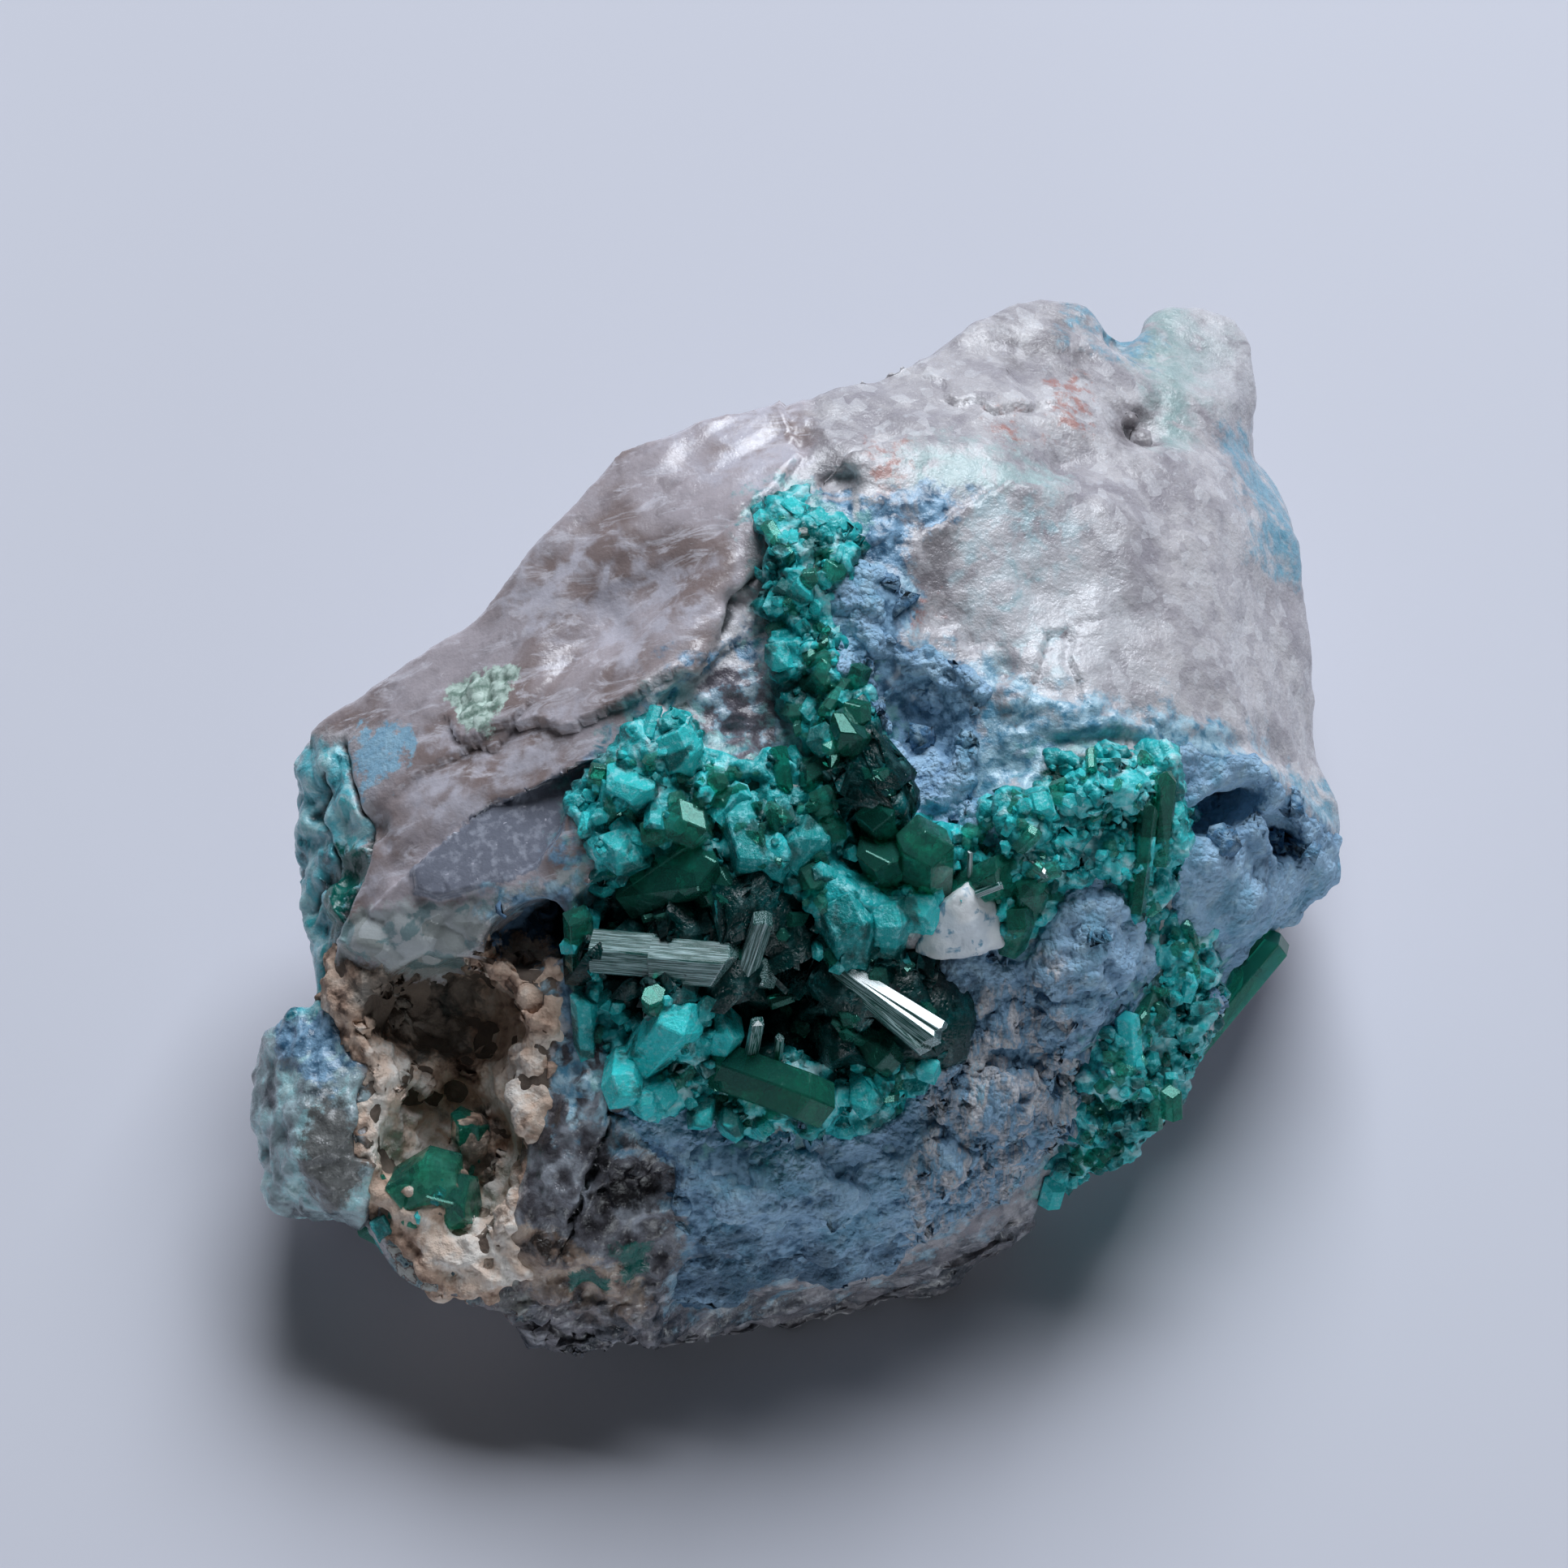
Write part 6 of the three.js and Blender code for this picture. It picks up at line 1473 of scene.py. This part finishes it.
# %% The white chip
milk, w, milk_shader = material("milky_quartz_chip")
white = w.blend(w.slope(w.grain(1.8, 4), 0.36, 0.6), tint(222, 230, 238), tint(246, 250, 254))
white = w.blend(w.slope(w.grain(1.2, 4, warp=0.6), 0.56, 0.64), white, tint(120, 164, 188))
w.feed(milk_shader.inputs["Base Color"], white)
w.feed(milk_shader.inputs["Normal"], w.bump(w.grain(0.5, 4), 0.5, 0.2))
settle(milk_shader, {
    "Roughness": 0.35, "Subsurface Weight": 0.4, "Subsurface Radius": (1, 1, 1),
    "Subsurface Scale": 1.0 * MM})
chip = bpy.data.objects.new("white_chip", NODES["white_quartz_chip"].data.copy())
bpy.context.scene.collection.objects.link(chip)
modify(chip, "REMESH", mode="VOXEL", voxel_size=0.14 * MM)
modify(chip, "SMOOTH", factor=0.5, iterations=2)
modify(chip, "DISPLACE", strength=0.16 * MM, mid_level=0)
relief(chip, "VORONOI", 2.2, 0.3, turn=(20, 50, 10), distance_metric="CHEBYCHEV")
relief(chip, "CLOUDS", 0.6, 0.14, noise_depth=3)
only(chip)
bpy.ops.object.shade_smooth()
chip.data.materials.clear()
chip.data.materials.append(milk)
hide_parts("white_quartz_chip")
print("chip:", triangles(chip), "triangles")

# %% Hold the pieces in the solids' box and attach them to one root
def hold_in(piece, margin=0.6):
    """Eases every vertex that stands outside the solids' box back to a margin around it."""
    places = points_of(piece)
    low, high = np.array(CAD_BOX[0]), np.array(CAD_BOX[1])
    places = np.where(places > high, high + (places - high) * 0.4, places)
    places = np.where(places < low, low + (places - low) * 0.4, places)
    places = np.clip(places, low - margin * MM, high + margin * MM)
    places[:, 2] = np.maximum(places[:, 2], FLOOR_GAP)
    move_to(piece, places)


bpy.data.objects.remove(plain)
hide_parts("quartz_matrix")
for piece in [stone, upper_blue, lower_blue, right_blue, pocket_mass, right_mass, lower_mass, cluster,
              right_crystals, lower_crystals, vug_crystals, tan_lining, chip]:
    hold_in(piece)
    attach(piece, "root")
counts = {piece.name: triangles(piece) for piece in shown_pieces() if piece.type == "MESH"}
print("all:", sum(counts.values()), "triangles, most:", max(counts.values()))
